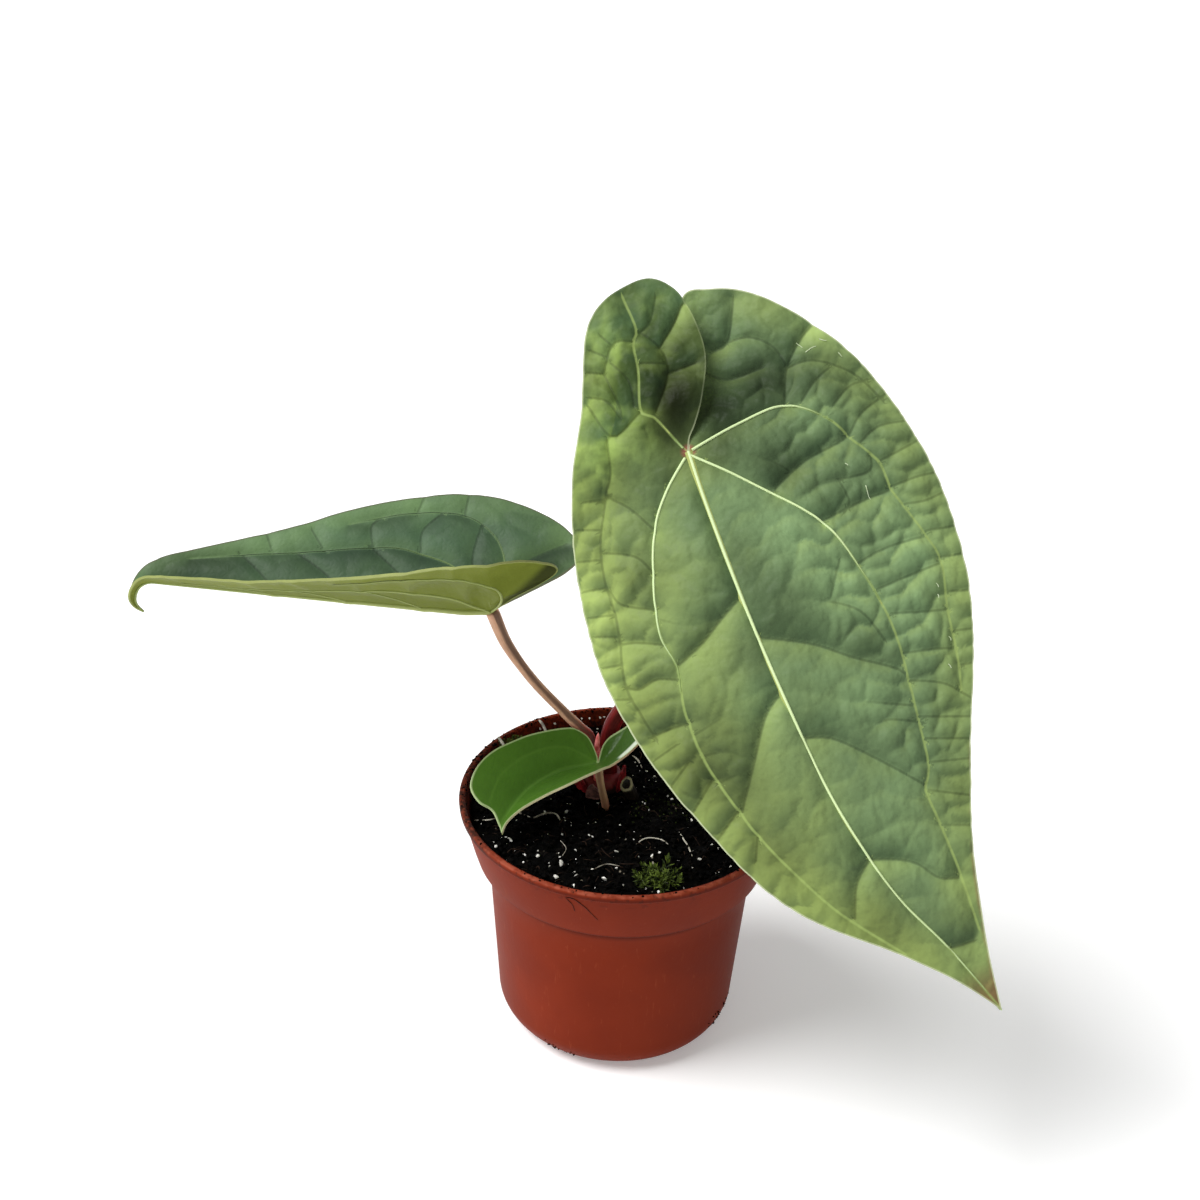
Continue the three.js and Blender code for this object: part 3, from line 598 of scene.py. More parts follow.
BIG_CROSS = [
    [(858, 563), (885, 548), (928, 535)], [(875, 590), (905, 577), (942, 562)],
    [(893, 613), (925, 611), (950, 608)], [(903, 653), (940, 648), (958, 648)],
    [(910, 680), (945, 683), (972, 698)], [(920, 716), (972, 716)], [(926, 738), (973, 738)],
    [(930, 762), (970, 758)], [(930, 790), (970, 795)], [(942, 825), (970, 825)],
    [(802, 400), (815, 380), (830, 366)], [(833, 405), (850, 385), (868, 378)],
    [(850, 434), (862, 412), (893, 388)], [(862, 440), (880, 425), (908, 420)],
    [(880, 460), (900, 450), (918, 440)], [(893, 485), (915, 477), (936, 472)],
    [(905, 503), (925, 500), (943, 492)], [(927, 530), (955, 525)], [(943, 556), (964, 553)],
    [(949, 590), (972, 590)], [(953, 630), (974, 628)], [(960, 665), (974, 662)],
    [(712, 350), (730, 340), (750, 336), (772, 344), (786, 362)], [(702, 370), (728, 379), (762, 366)],
    [(700, 455), (730, 450), (770, 460), (790, 470)], [(840, 480), (850, 500), (845, 512)],
    [(840, 478), (870, 470), (872, 455)], [(697, 655), (715, 662), (728, 682), (722, 718)],
    [(722, 718), (694, 735)], [(722, 718), (745, 722), (758, 738)], [(700, 757), (728, 752), (752, 760)],
    [(716, 785), (738, 775), (749, 780)], [(745, 640), (742, 662), (728, 682)],
    [(728, 682), (752, 695), (766, 712)], [(602, 372), (612, 343), (633, 340)],
    [(602, 372), (618, 405), (620, 418)], [(610, 362), (628, 380), (633, 405)], [(640, 362), (665, 362)],
    [(587, 372), (602, 372)], [(600, 335), (612, 345)], [(590, 350), (606, 356)],
    [(588, 397), (605, 400), (620, 418)], [(645, 430), (655, 460), (660, 490)],
    [(620, 480), (640, 490), (652, 520)], [(668, 372), (695, 362)], [(655, 295), (650, 320), (640, 330)],
    [(604, 500), (583, 503)], [(600, 530), (577, 530)], [(600, 560), (579, 562)], [(604, 588), (583, 592)],
    [(612, 615), (590, 618)], [(617, 637), (596, 637)], [(620, 665), (604, 668)], [(628, 700), (612, 700)],
    [(676, 745), (655, 760)], [(686, 765), (672, 785)], [(790, 720), (800, 760), (800, 800), (785, 830)],
    [(820, 800), (808, 830), (838, 850), (835, 880)], [(850, 870), (830, 860)],
    [(905, 900), (930, 895), (960, 905)], [(880, 880), (905, 910), (900, 935)],
    [(880, 830), (910, 820), (940, 825)], [(850, 765), (880, 790), (925, 800)],
    [(800, 690), (850, 700), (915, 705)], [(865, 735), (885, 720), (925, 722)],
    [(780, 600), (820, 600), (860, 610), (885, 640)], [(800, 540), (790, 580), (780, 600)],
    [(840, 560), (830, 600)], [(760, 510), (790, 540), (800, 540)], [(670, 560), (700, 590), (735, 592)],
    [(660, 620), (690, 625), (720, 618)],
]


BIG_START, LEFT_START = (10, 40), (10, 50)


def on_blade(surface, pixels, side, start):
    """The places on a blade that the camera sees at these pixels, from a first guess on the right half
    that is mirrored for the left one."""
    goal, step, longest = np.array(pixels, float), 0.1, 25
    places = np.tile(arr(start[0] * side, start[1]), (len(goal), 1))
    for _ in range(12):
        here = in_photo(at(surface, places, side))
        across = in_photo(at(surface, places + (step, 0), side)) - here
        along = in_photo(at(surface, places + (0, step), side)) - here
        slopes = np.stack([across, along], -1) / step
        move = np.linalg.solve(slopes, (goal - here)[:, :, None])[:, :, 0]
        places += np.clip(move, -longest, longest)
    return places


def big_lines(lines, side):
    """The lines of one half, as places on it."""
    divide = np.array(BIG_DIVIDE, float)
    found = []
    for line in lines:
        off = np.mean([x - np.interp(y, divide[:, 1], divide[:, 0]) for x, y in line])
        if off * side > 0:
            found.append(spline(on_blade(big_surface, line, side, BIG_START), 4 * len(line)))
    return found


big_veins = {side: {"main": [spline(BIG_MIDRIB, 40)] + big_lines(BIG_BASAL, side),
                    "lateral": big_lines(BIG_LATERAL, side),
                    "cross": big_lines(BIG_CROSS, side)} for side in (1, -1)}


def big_relief(places, side):
    """Smooth panels beside the midrib, and a quilt of small cells towards the margin and in the lobes."""
    across, along = places.T
    aside = np.abs(from_midrib(across, along))
    lobe = smoothstep(4, 12, -along)
    rough = 0.55 + 0.45 * np.maximum(smoothstep(11, 27, aside), lobe)
    relief, veins = Relief(places, (0.1, 1)), big_veins[side]
    main = relief.veins(veins["main"], 1.9, 3.4, 0.85)
    relief.veins(veins["lateral"], 2.2, 3.4, 1.2)
    relief.veins(veins["cross"], (1.6 + 0.5 * lobe) * rough**1.4, 2.2 + 0.5 * lobe, 0.95 * rough)
    warped = places + 1.3 * np.sin(places[:, ::-1] / 4.7) + 0.5 * np.sin(places[:, ::-1] / 1.9 + 1)
    relief.cells(warped, 6.6, 11, (1.6 - 0.9 * lobe) * rough**1.8, 1.9, (1.0 - 0.65 * lobe) * rough**1.8)
    swell = 0.5 * np.sin(across / 5.1 + 1) * np.sin(along / 6.3 + 0.4 * side)
    return relief.values(0.9 + swell, smoothstep(0, 9, np.hypot(across, along)), main)


LEFT_VEINS = [
    [(0, 0), (-11, 9), (-15, 20), (-16, 30), (-12, 53), (-10, 66), (-7, 82)],
    [(0, 0), (-12, -3), (-22, 0), (-28, 9), (-27, 24), (-22, 40)], [(0, 18), (-8, 25), (-16, 34)],
    [(0, 38), (-7, 46), (-12, 54)], [(0, 58), (-6, 64), (-10, 69)], [(-15, 20), (-22, 20), (-28, 15)],
    [(-15, 33), (-22, 34), (-25, 31)], [(-13, 46), (-19, 50)], [(-11, 60), (-16, 62)],
    [(-9, 5), (-16, 6), (-26, 4)], [(-28, 9), (-35, 8)], [(-27, 22), (-33, 20)],
    [(-12, -3), (-18, -12), (-22, -19)],
]
LEFT_MIDRIB = [(0, 106), (0, 80), (0, 40), (0, 0)]
left_veins = {side: [spline([(-0.88 * u if side > 0 else u, v) for u, v in line], 5 * len(line))
                     for line in LEFT_VEINS] for side in (1, -1)}


def left_relief(places, side):
    """Soft furrows along the veins, and shallow cells between them."""
    relief, veins = Relief(places, (side, 0.35)), left_veins[side]
    main = relief.veins([spline(LEFT_MIDRIB, 40)] + veins[:2], 1.3, 2.8, 0.9, 0)
    relief.veins(veins[2:], 1.3, 2.6, 1.0, 0)
    relief.cells(places + 1.2 * np.sin(places[:, ::-1] / 4.1), 7.5, 12, 0.5, 2.0, 0.35, 0)
    calm = smoothstep(0, 8, np.hypot(places[:, 0], places[:, 1])) * smoothstep(0, 6, 104 - places[:, 1])
    return relief.values(0.4, calm, main)


SMALL_MIDRIB = [(0.7, 35.6), (-2.3, 32.5), (-4.7, 26), (-6, 19), (-5, 10), (-2.4, 4), (0, 0)]
small_lines = [spline(SMALL_MIDRIB, 30), spline([(0, 0), (-8, 5), (-12, 14), (-12, 24), (-8, 32)], 20),
               spline([(0, 0), (2, 6), (1.5, 14), (-2, 24)], 20)]


def small_relief(places, side):
    """Hardly sunk along its three veins, and the same on both halves."""
    relief = Relief(places, (0.1, 1))
    main = relief.veins(small_lines, 0.35, 2.5, 0.3, 0)
    calm = smoothstep(0, 6, np.hypot(places[:, 0], places[:, 1])) * smoothstep(0, 4, 35 - places[:, 1])
    return relief.values(0, calm, main)


# Painted light and shade: soft spots where a blade is painted lighter or darker than the rest of it, each
# with a pixel of the photograph, a radius in millimetres and a strength

BIG_PAINTED_LIGHT_AND_SHADE = {
    1: [(762, 382, 9, -0.7), (720, 412, 6, -0.65), (720, 452, 6, -0.5), (778, 468, 8, -0.5),
        (740, 486, 7, 0.3), (786, 526, 8, 0.45), (915, 538, 8, 0.3), (812, 548, 10, 0.2), (842, 585, 8, 0.45),
        (742, 566, 8, -0.3), (785, 608, 8, -0.35), (822, 372, 8, -0.35), (815, 414, 6, 0.35),
        (818, 318, 9, 0.65), (705, 285, 7, 0.3), (900, 505, 8, 0.2), (925, 560, 9, 0.35), (912, 616, 9, 0.4),
        (872, 697, 7, 0.25), (905, 775, 7, 0.25), (885, 825, 8, 0.2), (915, 857, 7, 0.3), (872, 648, 6, -0.3),
        (845, 690, 8, 0.1), (940, 780, 8, -0.2), (905, 890, 9, -0.12), (870, 750, 9, -0.1),
        (955, 965, 7, -0.15)],
    -1: [(592, 450, 10, 0.85), (588, 412, 7, 0.4), (610, 326, 10, 0.9), (650, 286, 8, 0.7), (682, 300, 8, 0.7),
         (674, 396, 8, -0.85), (620, 484, 6, -0.5), (674, 440, 6, -0.45), (640, 580, 7, -0.35),
         (590, 608, 8, 0.45), (597, 680, 8, 0.45), (652, 704, 8, -0.25), (722, 722, 8, -0.28),
         (758, 702, 6, 0.35), (752, 655, 6, -0.3), (694, 768, 9, -0.45), (742, 786, 8, -0.4),
         (775, 850, 9, -0.4), (665, 480, 7, -0.2), (880, 925, 8, -0.35)],
}
LEFT_PAINTED_LIGHT_AND_SHADE = {
    -1: [(175, 572, 7, -0.35), (228, 578, 8, -0.25), (300, 577, 9, -0.1), (545, 568, 6, -0.4), (485, 572, 8, -0.35),
         (330, 530, 12, 0.5), (420, 512, 13, 0.45), (262, 545, 9, 0.4), (450, 540, 9, 0.2), (505, 535, 9, 0.2)],
}


def spots_on(surface, spots, start):
    """The same spots by their places on a blade."""
    found = {}
    for side, listed in spots.items():
        places = on_blade(surface, [spot[:2] for spot in listed], side, start)
        found[side] = [(place, *spot[2:]) for place, spot in zip(places, listed)]
    return found


def soft_spots(places, spots):
    """How much the spots of painted light and shade lighten or deepen each place together."""
    total = np.zeros(len(places))
    for place, radius, strength in spots:
        total += strength * np.exp(-((places - place) ** 2).sum(1) / radius**2)
    return total


# slope and tone are painted light and shade: the first beside the veins, the second from the soft spots
BLADE_VALUES = ("edge", "vein", "gap", "hand", "weight", "slope", "tone", "across", "along", "half")


def weld(points, triangles, values):
    """Joins equal corners, and drops the triangles that collapse and tells which of them stay."""
    keys = np.round(points * 1000).astype(np.int64)
    _, first, place = np.unique(keys, axis=0, return_index=True, return_inverse=True)
    joined = place.reshape(-1)[triangles]
    keep = (joined[:, 0] != joined[:, 1]) & (joined[:, 1] != joined[:, 2]) & (joined[:, 2] != joined[:, 0])
    return points[first], joined[keep], keep, {name: data[first] for name, data in values.items()}


def blade_piece(name, leaf, finishes):
    """A thin closed blade. Rows cross each half from a root to the margin: the first rows root along
    the midrib, and the later ones in one place of their lobe. The lower skin has a third of the columns."""
    surface, relief, rows, columns = leaf["surface"], leaf["relief"], leaf["rows"], leaf["columns"]
    fan = round(rows * leaf["fan"])
    spine = spline(leaf["midrib"], fan)
    points, triangles, slots = [], [], []
    values = {key: [] for key in BLADE_VALUES}

    spine_normal = unit_rows(normals_at(surface, spine, 1) + normals_at(surface, spine, -1))
    spine_top = at(surface, spine, 1) + spine_normal * relief(spine, 1)["height"][:, None]
    total = 0
    for side in (1, -1):
        edge = spline(leaf["right"] if side > 0 else leaf["left"], rows)
        own_root = np.array(leaf["roots"][0 if side > 0 else 1], float)
        roots = np.vstack([spine, np.tile(own_root, (rows - fan, 1))])
        share = np.arange(columns + 1) / columns
        places = roots[:, None] + (edge - roots)[:, None] * share[None, :, None]
        places[0] = spine[0]
        places[-1, 1:] = spine[-1]
        grid = places.shape[:2]
        flat = places.reshape(-1, 2)
        form = relief(flat, side)
        # tone: the painted light and shade of the soft spots
        form.update(edge=line_gap(flat, edge)[0], tone=soft_spots(flat, leaf["spots"].get(side, ())),
                    across=flat[:, 0], along=flat[:, 1], half=np.full(len(flat), float(side)))
        height = (form["height"] * (0.45 + 0.55 * smoothstep(0, 5, form["edge"]))).reshape(grid)
        around = np.pad(height, ((0, 0), (2, 2)), "edge")
        lowest = np.min([around[:, i:i + grid[1]] for i in range(5)], axis=0)
        base = at(surface, flat, side).reshape(*grid, 3)
        normal = normals_at(surface, flat, side).reshape(*grid, 3)
        upper = base + normal * height[..., None]
        lower = base + normal * (lowest - BLADE_THICKNESS)[..., None]
        spine_under = spine_top - spine_normal * BLADE_THICKNESS
        rims = []
        for skin, slot, flip, every, middle in ((upper, 0, side < 0, 1, spine_top),
                                                (lower, 1, side > 0, 3, spine_under)):
            skin[:fan + 1, 0] = middle
            skin[0] = middle[0]
            skin[-1, 1:] = middle[-1]
            if not own_root.any():
                skin[fan:, 0] = middle[-1]
            skin = skin[:, ::every]
            index = np.arange(skin.shape[0] * skin.shape[1]).reshape(skin.shape[:2]) + total
            total += index.size
            a, b, c, d = index[:-1, :-1], index[:-1, 1:], index[1:, 1:], index[1:, :-1]
            pair = np.concatenate([np.stack(corners, -1).reshape(-1, 3) for corners in ((a, b, c), (a, c, d))])
            triangles.append(pair[:, ::-1] if flip else pair)
            slots.append(np.full(len(pair), slot))
            points.append(skin.reshape(-1, 3))
            rims.append(index[:, -1])
            for key, lists in values.items():
                lists.append(form[key].reshape(grid)[:, ::every].ravel())
        a, b, c, d = rims[0][:-1], rims[0][1:], rims[1][1:], rims[1][:-1]
        rim = np.concatenate([np.stack([b, a, d], -1), np.stack([b, d, c], -1)])
        triangles.append(rim if side > 0 else rim[:, ::-1])
        slots.append(np.full(len(rim), 2))
    stacked = {key: np.concatenate(data) for key, data in values.items()}
    points, triangles, keep, stacked = weld(np.vstack(points), np.vstack(triangles), stacked)
    slots = np.concatenate(slots)[keep]
    return make_piece(name, points, triangles, finishes, slots, stacked, sharp=70)


STRAND_STEP = 1.1
MARGIN_CLEAR = 1.3


def vein_strand(leaf, line, side, thick, thin, lift, taper=1.0, fade=(2, 3), until=1.0):
    """A vein as a strand on the blade's skin, pale up to where it fades. Lift is from the upper face, and
    the strand keeps clear of the margin."""
    count = max(int(np.linalg.norm(np.diff(line, axis=0), axis=1).sum() / STRAND_STEP), 4)
    path = spline(line, count)
    height = leaf["relief"](path, side)["height"]
    normal = normals_at(leaf["surface"], path, side)
    points = at(leaf["surface"], path, side) + normal * (height + lift)[:, None]
    run = np.linspace(0, 1, count + 1)
    radius = thin + (thick - thin) * (1 - run) ** taper
    radius *= 1 - 0.75 * smoothstep(until - 0.12, until, run) * (until < 1)
    strand = np.column_stack([points, radius, 1 - smoothstep(*fade, run)])
    outline = spline(leaf["right"] if side > 0 else leaf["left"], 120)[6:-6]
    inside = (line_gap(path, outline)[0] > MARGIN_CLEAR) & (run <= until)
    return strand[inside]


BIG = {
    "surface": big_surface, "relief": big_relief, "midrib": BIG_MIDRIB,
    "right": [
        (0, 156), (4, 141), (12.5, 118), (24, 97), (41.7, 68), (50.3, 42), (52, 18), (49.7, -1), (43.2, -17.8),
        (34.6, -30.8), (27, -36.8), (20, -39), (13, -28), (7, -14), (3.6, -6.6), (1.7, -3), (0, 0),
    ],
    "left": [
        (0, 156), (-7, 143), (-17, 130), (-31, 113), (-38.3, 96), (-43.6, 72), (-45.6, 54), (-44.8, 36),
        (-38.8, 12), (-30, -6.5), (-18.8, -21), (-7.8, -38), (0, -43.8), (8, -45.2), (14.3, -43.6), (18, -37.7),
        (18.2, -29), (15.6, -18.6), (9.6, -9.8), (4.8, -5), (2, -2.8), (0, 0),
    ],
    "rows": 400, "columns": 84, "fan": 27 / 46, "roots": [(5, -1.5), (-2, -3)],
    "spots": spots_on(big_surface, BIG_PAINTED_LIGHT_AND_SHADE, BIG_START),
}
LEFT = {
    "surface": left_surface, "relief": left_relief, "midrib": LEFT_MIDRIB,
    "left": [
        (0, 106), (-1.6, 101), (-2.4, 96), (-5, 91.5), (-7.5, 87), (-14.9, 66.5), (-20, 53.3), (-26, 40.2),
        (-30.6, 26.8), (-34, 12), (-34, 0), (-31, -11), (-26.5, -19), (-20, -23.5), (-14, -20), (-8, -12), (0, 0),
    ],
    "right": [
        (0, 106), (1.6, 101), (2.2, 96), (5, 91), (8, 86), (13, 74), (18.5, 53), (22.5, 38), (27, 22),
        (30.5, 10), (30.5, 1), (28, -6), (24, -13), (20, -17.5), (15, -13), (9, -6), (0, 0),
    ],
    "rows": 200, "columns": 42, "fan": 22 / 34, "roots": [(6, 0), (-2, -1)],
    "spots": spots_on(left_surface, LEFT_PAINTED_LIGHT_AND_SHADE, LEFT_START),
}
SMALL = {
    "surface": small_surface, "relief": small_relief, "midrib": SMALL_MIDRIB,
    "left": [
        (0.7, 35.6), (-3, 33.5), (-6, 33), (-9, 35), (-13, 34.4), (-16.3, 29), (-17.4, 22), (-16.2, 14),
        (-14.3, 8.4), (-11.7, 3), (-9.6, -0.2), (-7, -2.1), (-4.6, -2.2), (-1.4, -1.2), (0, 0),
    ],
    "right": [
        (0.7, 35.6), (-1.2, 32), (-0.7, 27.5), (2, 21.5), (4.6, 15), (5.2, 7), (4.7, -1), (6.5, -6.5), (8, -10),
        (6, -13.4), (1, -12), (-2.2, -7.6), (-2.6, -4.6), (-1.5, -2.3), (0, 0),
    ],
    "rows": 120, "columns": 24, "fan": 15 / 26, "roots": [(0, 0), (0, 0)], "spots": {},
}


# Finishes

def blade_finish(name, cool, warm, warmth, painted_shade, bright, roughness, margin, gloss=0.12, tint_and_painted_light=None, contrast=1.0,
                 margin_shade=None, lumps=0.1):
    """A blade's skin: two greens that mix by warmth, with painted light just below each vein and painted shade
    just above it, painted shade along thin creases and the soft spots' painted light and shade.
    """
    finish = Finish(name)
    gap, hand, weight, slope, edge, vein, tone = finish.attributes("gap hand weight slope edge vein tone")
    blotch = finish.grain(16, 3)
    mottle = finish.grain(1.8, 2)
    colour = finish.mix((warmth(finish) + (blotch - 0.5) * 0.6).step(0.0, 1.0), cool, warm)
    # The given colour function adds painted light and shade as well as colour
    if tint_and_painted_light:
        colour = tint_and_painted_light(finish, colour)
    # Painted light just below each vein and painted shade just above it
    painted_light = slope.math("MAXIMUM", 0.0) * contrast
    painted_shade_amount = (slope * -1).math("MAXIMUM", 0.0) * contrast
    thin = hand.math("ABSOLUTE").step(0.5, 0.1) * gap.step(1.3, 0.7)
    main = (vein - gap).step(0.2, 0.05)
    colour = finish.mix((painted_light * 0.5).math("MINIMUM", 1.0), colour, bright)
    colour = finish.mix((painted_shade_amount * 0.7).math("MINIMUM", 1.0), colour, painted_shade)
    # Painted shade in a thin line along the creases of the lesser veins
    painted_crease_shade = thin * (1 - main) * weight.step(0.5, 1.0) * contrast
    # Random mottle, with the painted shade, the painted crease shade and the spots' painted light and shade
    shading = (0.94 + mottle * 0.12) * (1 - painted_shade_amount * 0.3) * (1 - painted_crease_shade * 0.24) * (1 + tone)
    colour = finish.darken(colour, shading)
    colour = finish.mix(thin * main * 0.45 * contrast, colour, bright)
    shown = edge.step(0.45, 0.2) * 0.8
    # Painted shade dims the pale margin where the given mask says
    colour = finish.mix(shown * (1 - margin_shade(finish) * 0.85) if margin_shade else shown, colour, margin)
    relief = finish.grain(4.6, 1.8) * lumps + (finish.cells(1.6).step(0, 0.35) * 0.4 + mottle * 0.6) * 0.06
    return finish.done(colour, roughness + (mottle - 0.5) * 0.2, finish.bump(relief, 1.0), Specular_IOR_Level=gloss)


def petiole_finish(name, low, high, low_end, high_end, streak, groove, gloss=0.2):
    """A petiole's skin, streaked along its length: one colour up to low_end of it and another from
    high_end on, as parts of the whole, and painted shade in its groove."""
    finish = Finish(name)
    run = finish.attribute("run")
    girth = finish.attribute("girth", "Vector")
    streaks = finish.add("ShaderNodeTexNoise", sockets={
        "Vector": finish.add("ShaderNodeMapping", sockets={"Vector": girth, "Scale": (3, 3, 0.12)}),
        "Scale": 1.0, "Detail": 3.0})
    facing = finish.add("ShaderNodeSeparateXYZ", sockets={0: girth}, output=0)
    colour = finish.mix((run + (streaks - 0.5) * 0.25).step(low_end, high_end), low, high)
    colour = finish.mix(streaks.step(0.52, 0.72) * 0.5, colour, streak)
    # Painted shade in the groove
    colour = finish.mix((facing + (streaks - 0.5) * 0.3).step(0.7, 0.98) * 0.8, colour, groove)
    colour = finish.darken(colour, 0.8 + finish.grain(2.5) * 0.4)
    return finish.done(colour, 0.42, finish.bump(streaks, 0.25), Specular_IOR_Level=gloss)


def plain_finish(name, light, dark, size, roughness, depth, gloss=0.4):
    """Two colours in soft lumps, with a relief of the same lumps."""
    finish = Finish(name)
    lumps = finish.grain(size, 4)
    colour = finish.mix(lumps.step(0.35, 0.65), dark, light)
    return finish.done(colour, roughness, finish.bump(lumps, depth), Specular_IOR_Level=gloss)


def pot_finish(name, inner):
    """Moulded plastic with handling marks, and dirt that gathers at the lip, the collar and the foot; painted shade
    in a thin line under the lip's top, a painted highlight on that top, a painted shadow under the collar and
    painted shade over the right side. Its bands are at heights in millimetres."""
    finish = Finish(name)
    z, sideways = finish.height(), finish.height(0)
    cloud = finish.grain(26, 3)
    scuffs = finish.grain(1.1, 3, (1, 1, 0.16), distortion=0.6)
    speckle = finish.grain(1.3, 4)
    colour = finish.mix(cloud.step(0.3, 0.7), (111, 35, 13), (122, 41, 17))
    colour = finish.mix(scuffs.step(0.62, 0.78) * 0.3, colour, (156, 72, 44))
    if inner:
        colour = finish.mix(z.step(71.5, 66) * 0.6 + speckle.step(0.42, 0.56) * 0.45, colour, (44, 16, 13))
    else:
        # Patches of wear on the lip's top, which also carry its painted highlight
        lip_wear_and_highlight = z.step(70.3, 70.8) * finish.grain(2.2, 4, (1, 1, 0.5)).step(0.4, 0.62)
        # Painted shade in a thin line under the lip's top
        colour = finish.mix(z.step(70.4, 69.9) * z.step(68.9, 69.5) * 0.5, colour, (66, 20, 12))
        # Painted highlight on the lip's top, stronger in patches of wear
        colour = finish.mix(z.step(70.4, 70.9) * 0.2 + lip_wear_and_highlight * 0.35, colour, (172, 92, 70))
        # Painted shadow under the collar, stronger away from the left side
        shadow_below_collar = z.step(49.6, 51.4) * z.step(54.8, 54.2)
        colour = finish.mix(shadow_below_collar * (0.2 + sideways.step(-40, -5) * 0.35), colour, (50, 15, 9))
        near_lip, near_foot, collar = z.step(63, 70.5), z.step(9, 1.5), z.step(50, 53.6) * z.step(55, 54.2)
        dirt = (near_lip * 0.5 + near_foot * 0.7 + collar * 0.8) * speckle.step(0.58, 0.66)
        colour = finish.mix(dirt, colour, (50, 24, 16))
        # Painted shade over the right side of the pot
        colour = finish.darken(colour, 1 - sideways.step(-18, 40) * 0.3)
    soiled = z.step(66, 70) * sideways.step(-30, -41) * (0.5 + speckle.step(0.4, 0.6) * 0.45)
    colour = finish.mix(soiled, colour, (46, 26, 20))
    relief = speckle * 0.5 + scuffs * 0.3
    return finish.done(colour, 0.5 + (cloud - 0.5) * 0.2, finish.bump(relief, 0.07), Specular_IOR_Level=0.05)


def soil_finish():
    """Nearly black wet peat with a few pale flecks."""
    finish = Finish("wet_peat")
    crumb = finish.grain(1.6, 5)
    fleck = finish.cells(2.4, "F1")
    colour = finish.mix(crumb.step(0.45, 0.75), (1, 1, 1), (10, 7, 5))
    colour = finish.mix(fleck.step(0.16, 0.1) * finish.grain(6).step(0.55, 0.65), colour, (120, 112, 98))
    return finish.done(colour, 0.75 - crumb * 0.3, finish.bump(crumb, 0.9), Specular_IOR_Level=0.03)


def big_warmth_and_painted_sheen(finish):
    """Warmer on the half that turns back and towards the margins, cooler in the middle: partly the blade's own
    greens and partly painted light, the grey of the cool middle standing for a painted sheen of the sky.
    """
    across, edge = finish.attributes("across edge")
    return across.step(6, -30) * 0.55 + edge.step(16, 2) * 0.45 + 0.05


def shaded_inner_lobe(finish):
    """Where the left lobe nears the sinus: the mask for its painted shade."""
    across, along, half = finish.attributes("across along half")
    return along.step(8, -12) * half.step(0.5, -0.5) * across.step(-9, 5)


def big_tint_and_shade(finish, colour):
    """The left lobe is a darker olive in patches, partly its colour and partly painted shade, with painted shade
    towards the sinus; the right lobe has a painted shadow beside it, and painted shade lies along the left of
    the midrib; the blade is pink at its joint and brown at its tip."""
    across, along, half, vein, edge = finish.attributes("across along half vein edge")
    left = half.step(0.5, -0.5)
    lobe = along.step(6, -14) * left
    # Darker olive patches on the left lobe: partly its own colour, partly painted shade
    olive = finish.mix(finish.grain(7, 2).step(0.42, 0.66), (52, 68, 24), (106, 126, 60))
    colour = finish.mix(lobe * (0.9 - edge.step(9, 2) * 0.35), colour, olive)
    # Painted shade where the left lobe nears the sinus
    colour = finish.mix(shaded_inner_lobe(finish) * 0.7, colour, (44, 56, 30))
    # Painted shadow on the right lobe beside the left one
    beside = along.step(6, -10) * across.step(32, 10) * half.step(-0.5, 0.5)
    colour = finish.mix(beside * 0.5, colour, (68, 92, 58))
    shaded = left * vein.step(5, 0.5) * across.step(-12, -6) * along.step(4, 12) * along.step(75, 50)
    colour = finish.mix(shaded * 0.5, colour, (66, 88, 44))
    reach = (across * across + along * along).math("SQRT")
    colour = finish.mix(reach.step(2.4, 0.9), colour, (160, 100, 84))
    dried = half.step(-0.5, 0.5) * edge.step(1.3, 0.3) * along.step(80, 125) * finish.grain(5, 3).step(0.35, 0.6)
    colour = finish.mix(dried * 0.5, colour, (132, 98, 74))
    return finish.mix(along.step(142, 152) * 0.85, colour, (118, 88, 60))


def left_under_tint_and_shade(finish, colour):
    """The near lobe's lower side is olive, with painted shade, nearly black, towards its margin."""
    across, along, half = finish.attributes("across along half")
    near_lobe = half.step(-0.5, 0.5) * along.step(1, -6)
    colour = finish.mix(near_lobe * 0.5, colour, (104, 114, 38))
    # Painted shade towards the near lobe's margin
    return finish.mix(near_lobe * (along + across * 0.8).step(6, 2) * 0.85, colour, (26, 30, 12))


def small_tint_and_highlight(finish, colour):
    """The lobe that lies behind the bud is darker, with a painted highlight, a pale shine, along its lower margin.
    """
    across, along, half, edge = finish.attributes("across along half edge")
    behind = half.step(-0.5, 0.5) * along.step(3, -1)
    colour = finish.mix(behind * 0.5, colour, (44, 70, 20))
    # Painted highlight along the lower margin of the lobe behind the bud
    shine = behind * across.step(3.4, 4.6) * along.step(-12, -10) * along.step(-3, -4.2) * edge.step(1.9, 1.2)
    return finish.mix(shine * 0.85, colour, (222, 232, 214))


def fixed_warmth(value):
    return lambda finish: finish.attribute("edge").step(10, 0) * 0.3 + value


add_camera()
STRAND = strand_tree()
STREWN = strewn_tree()

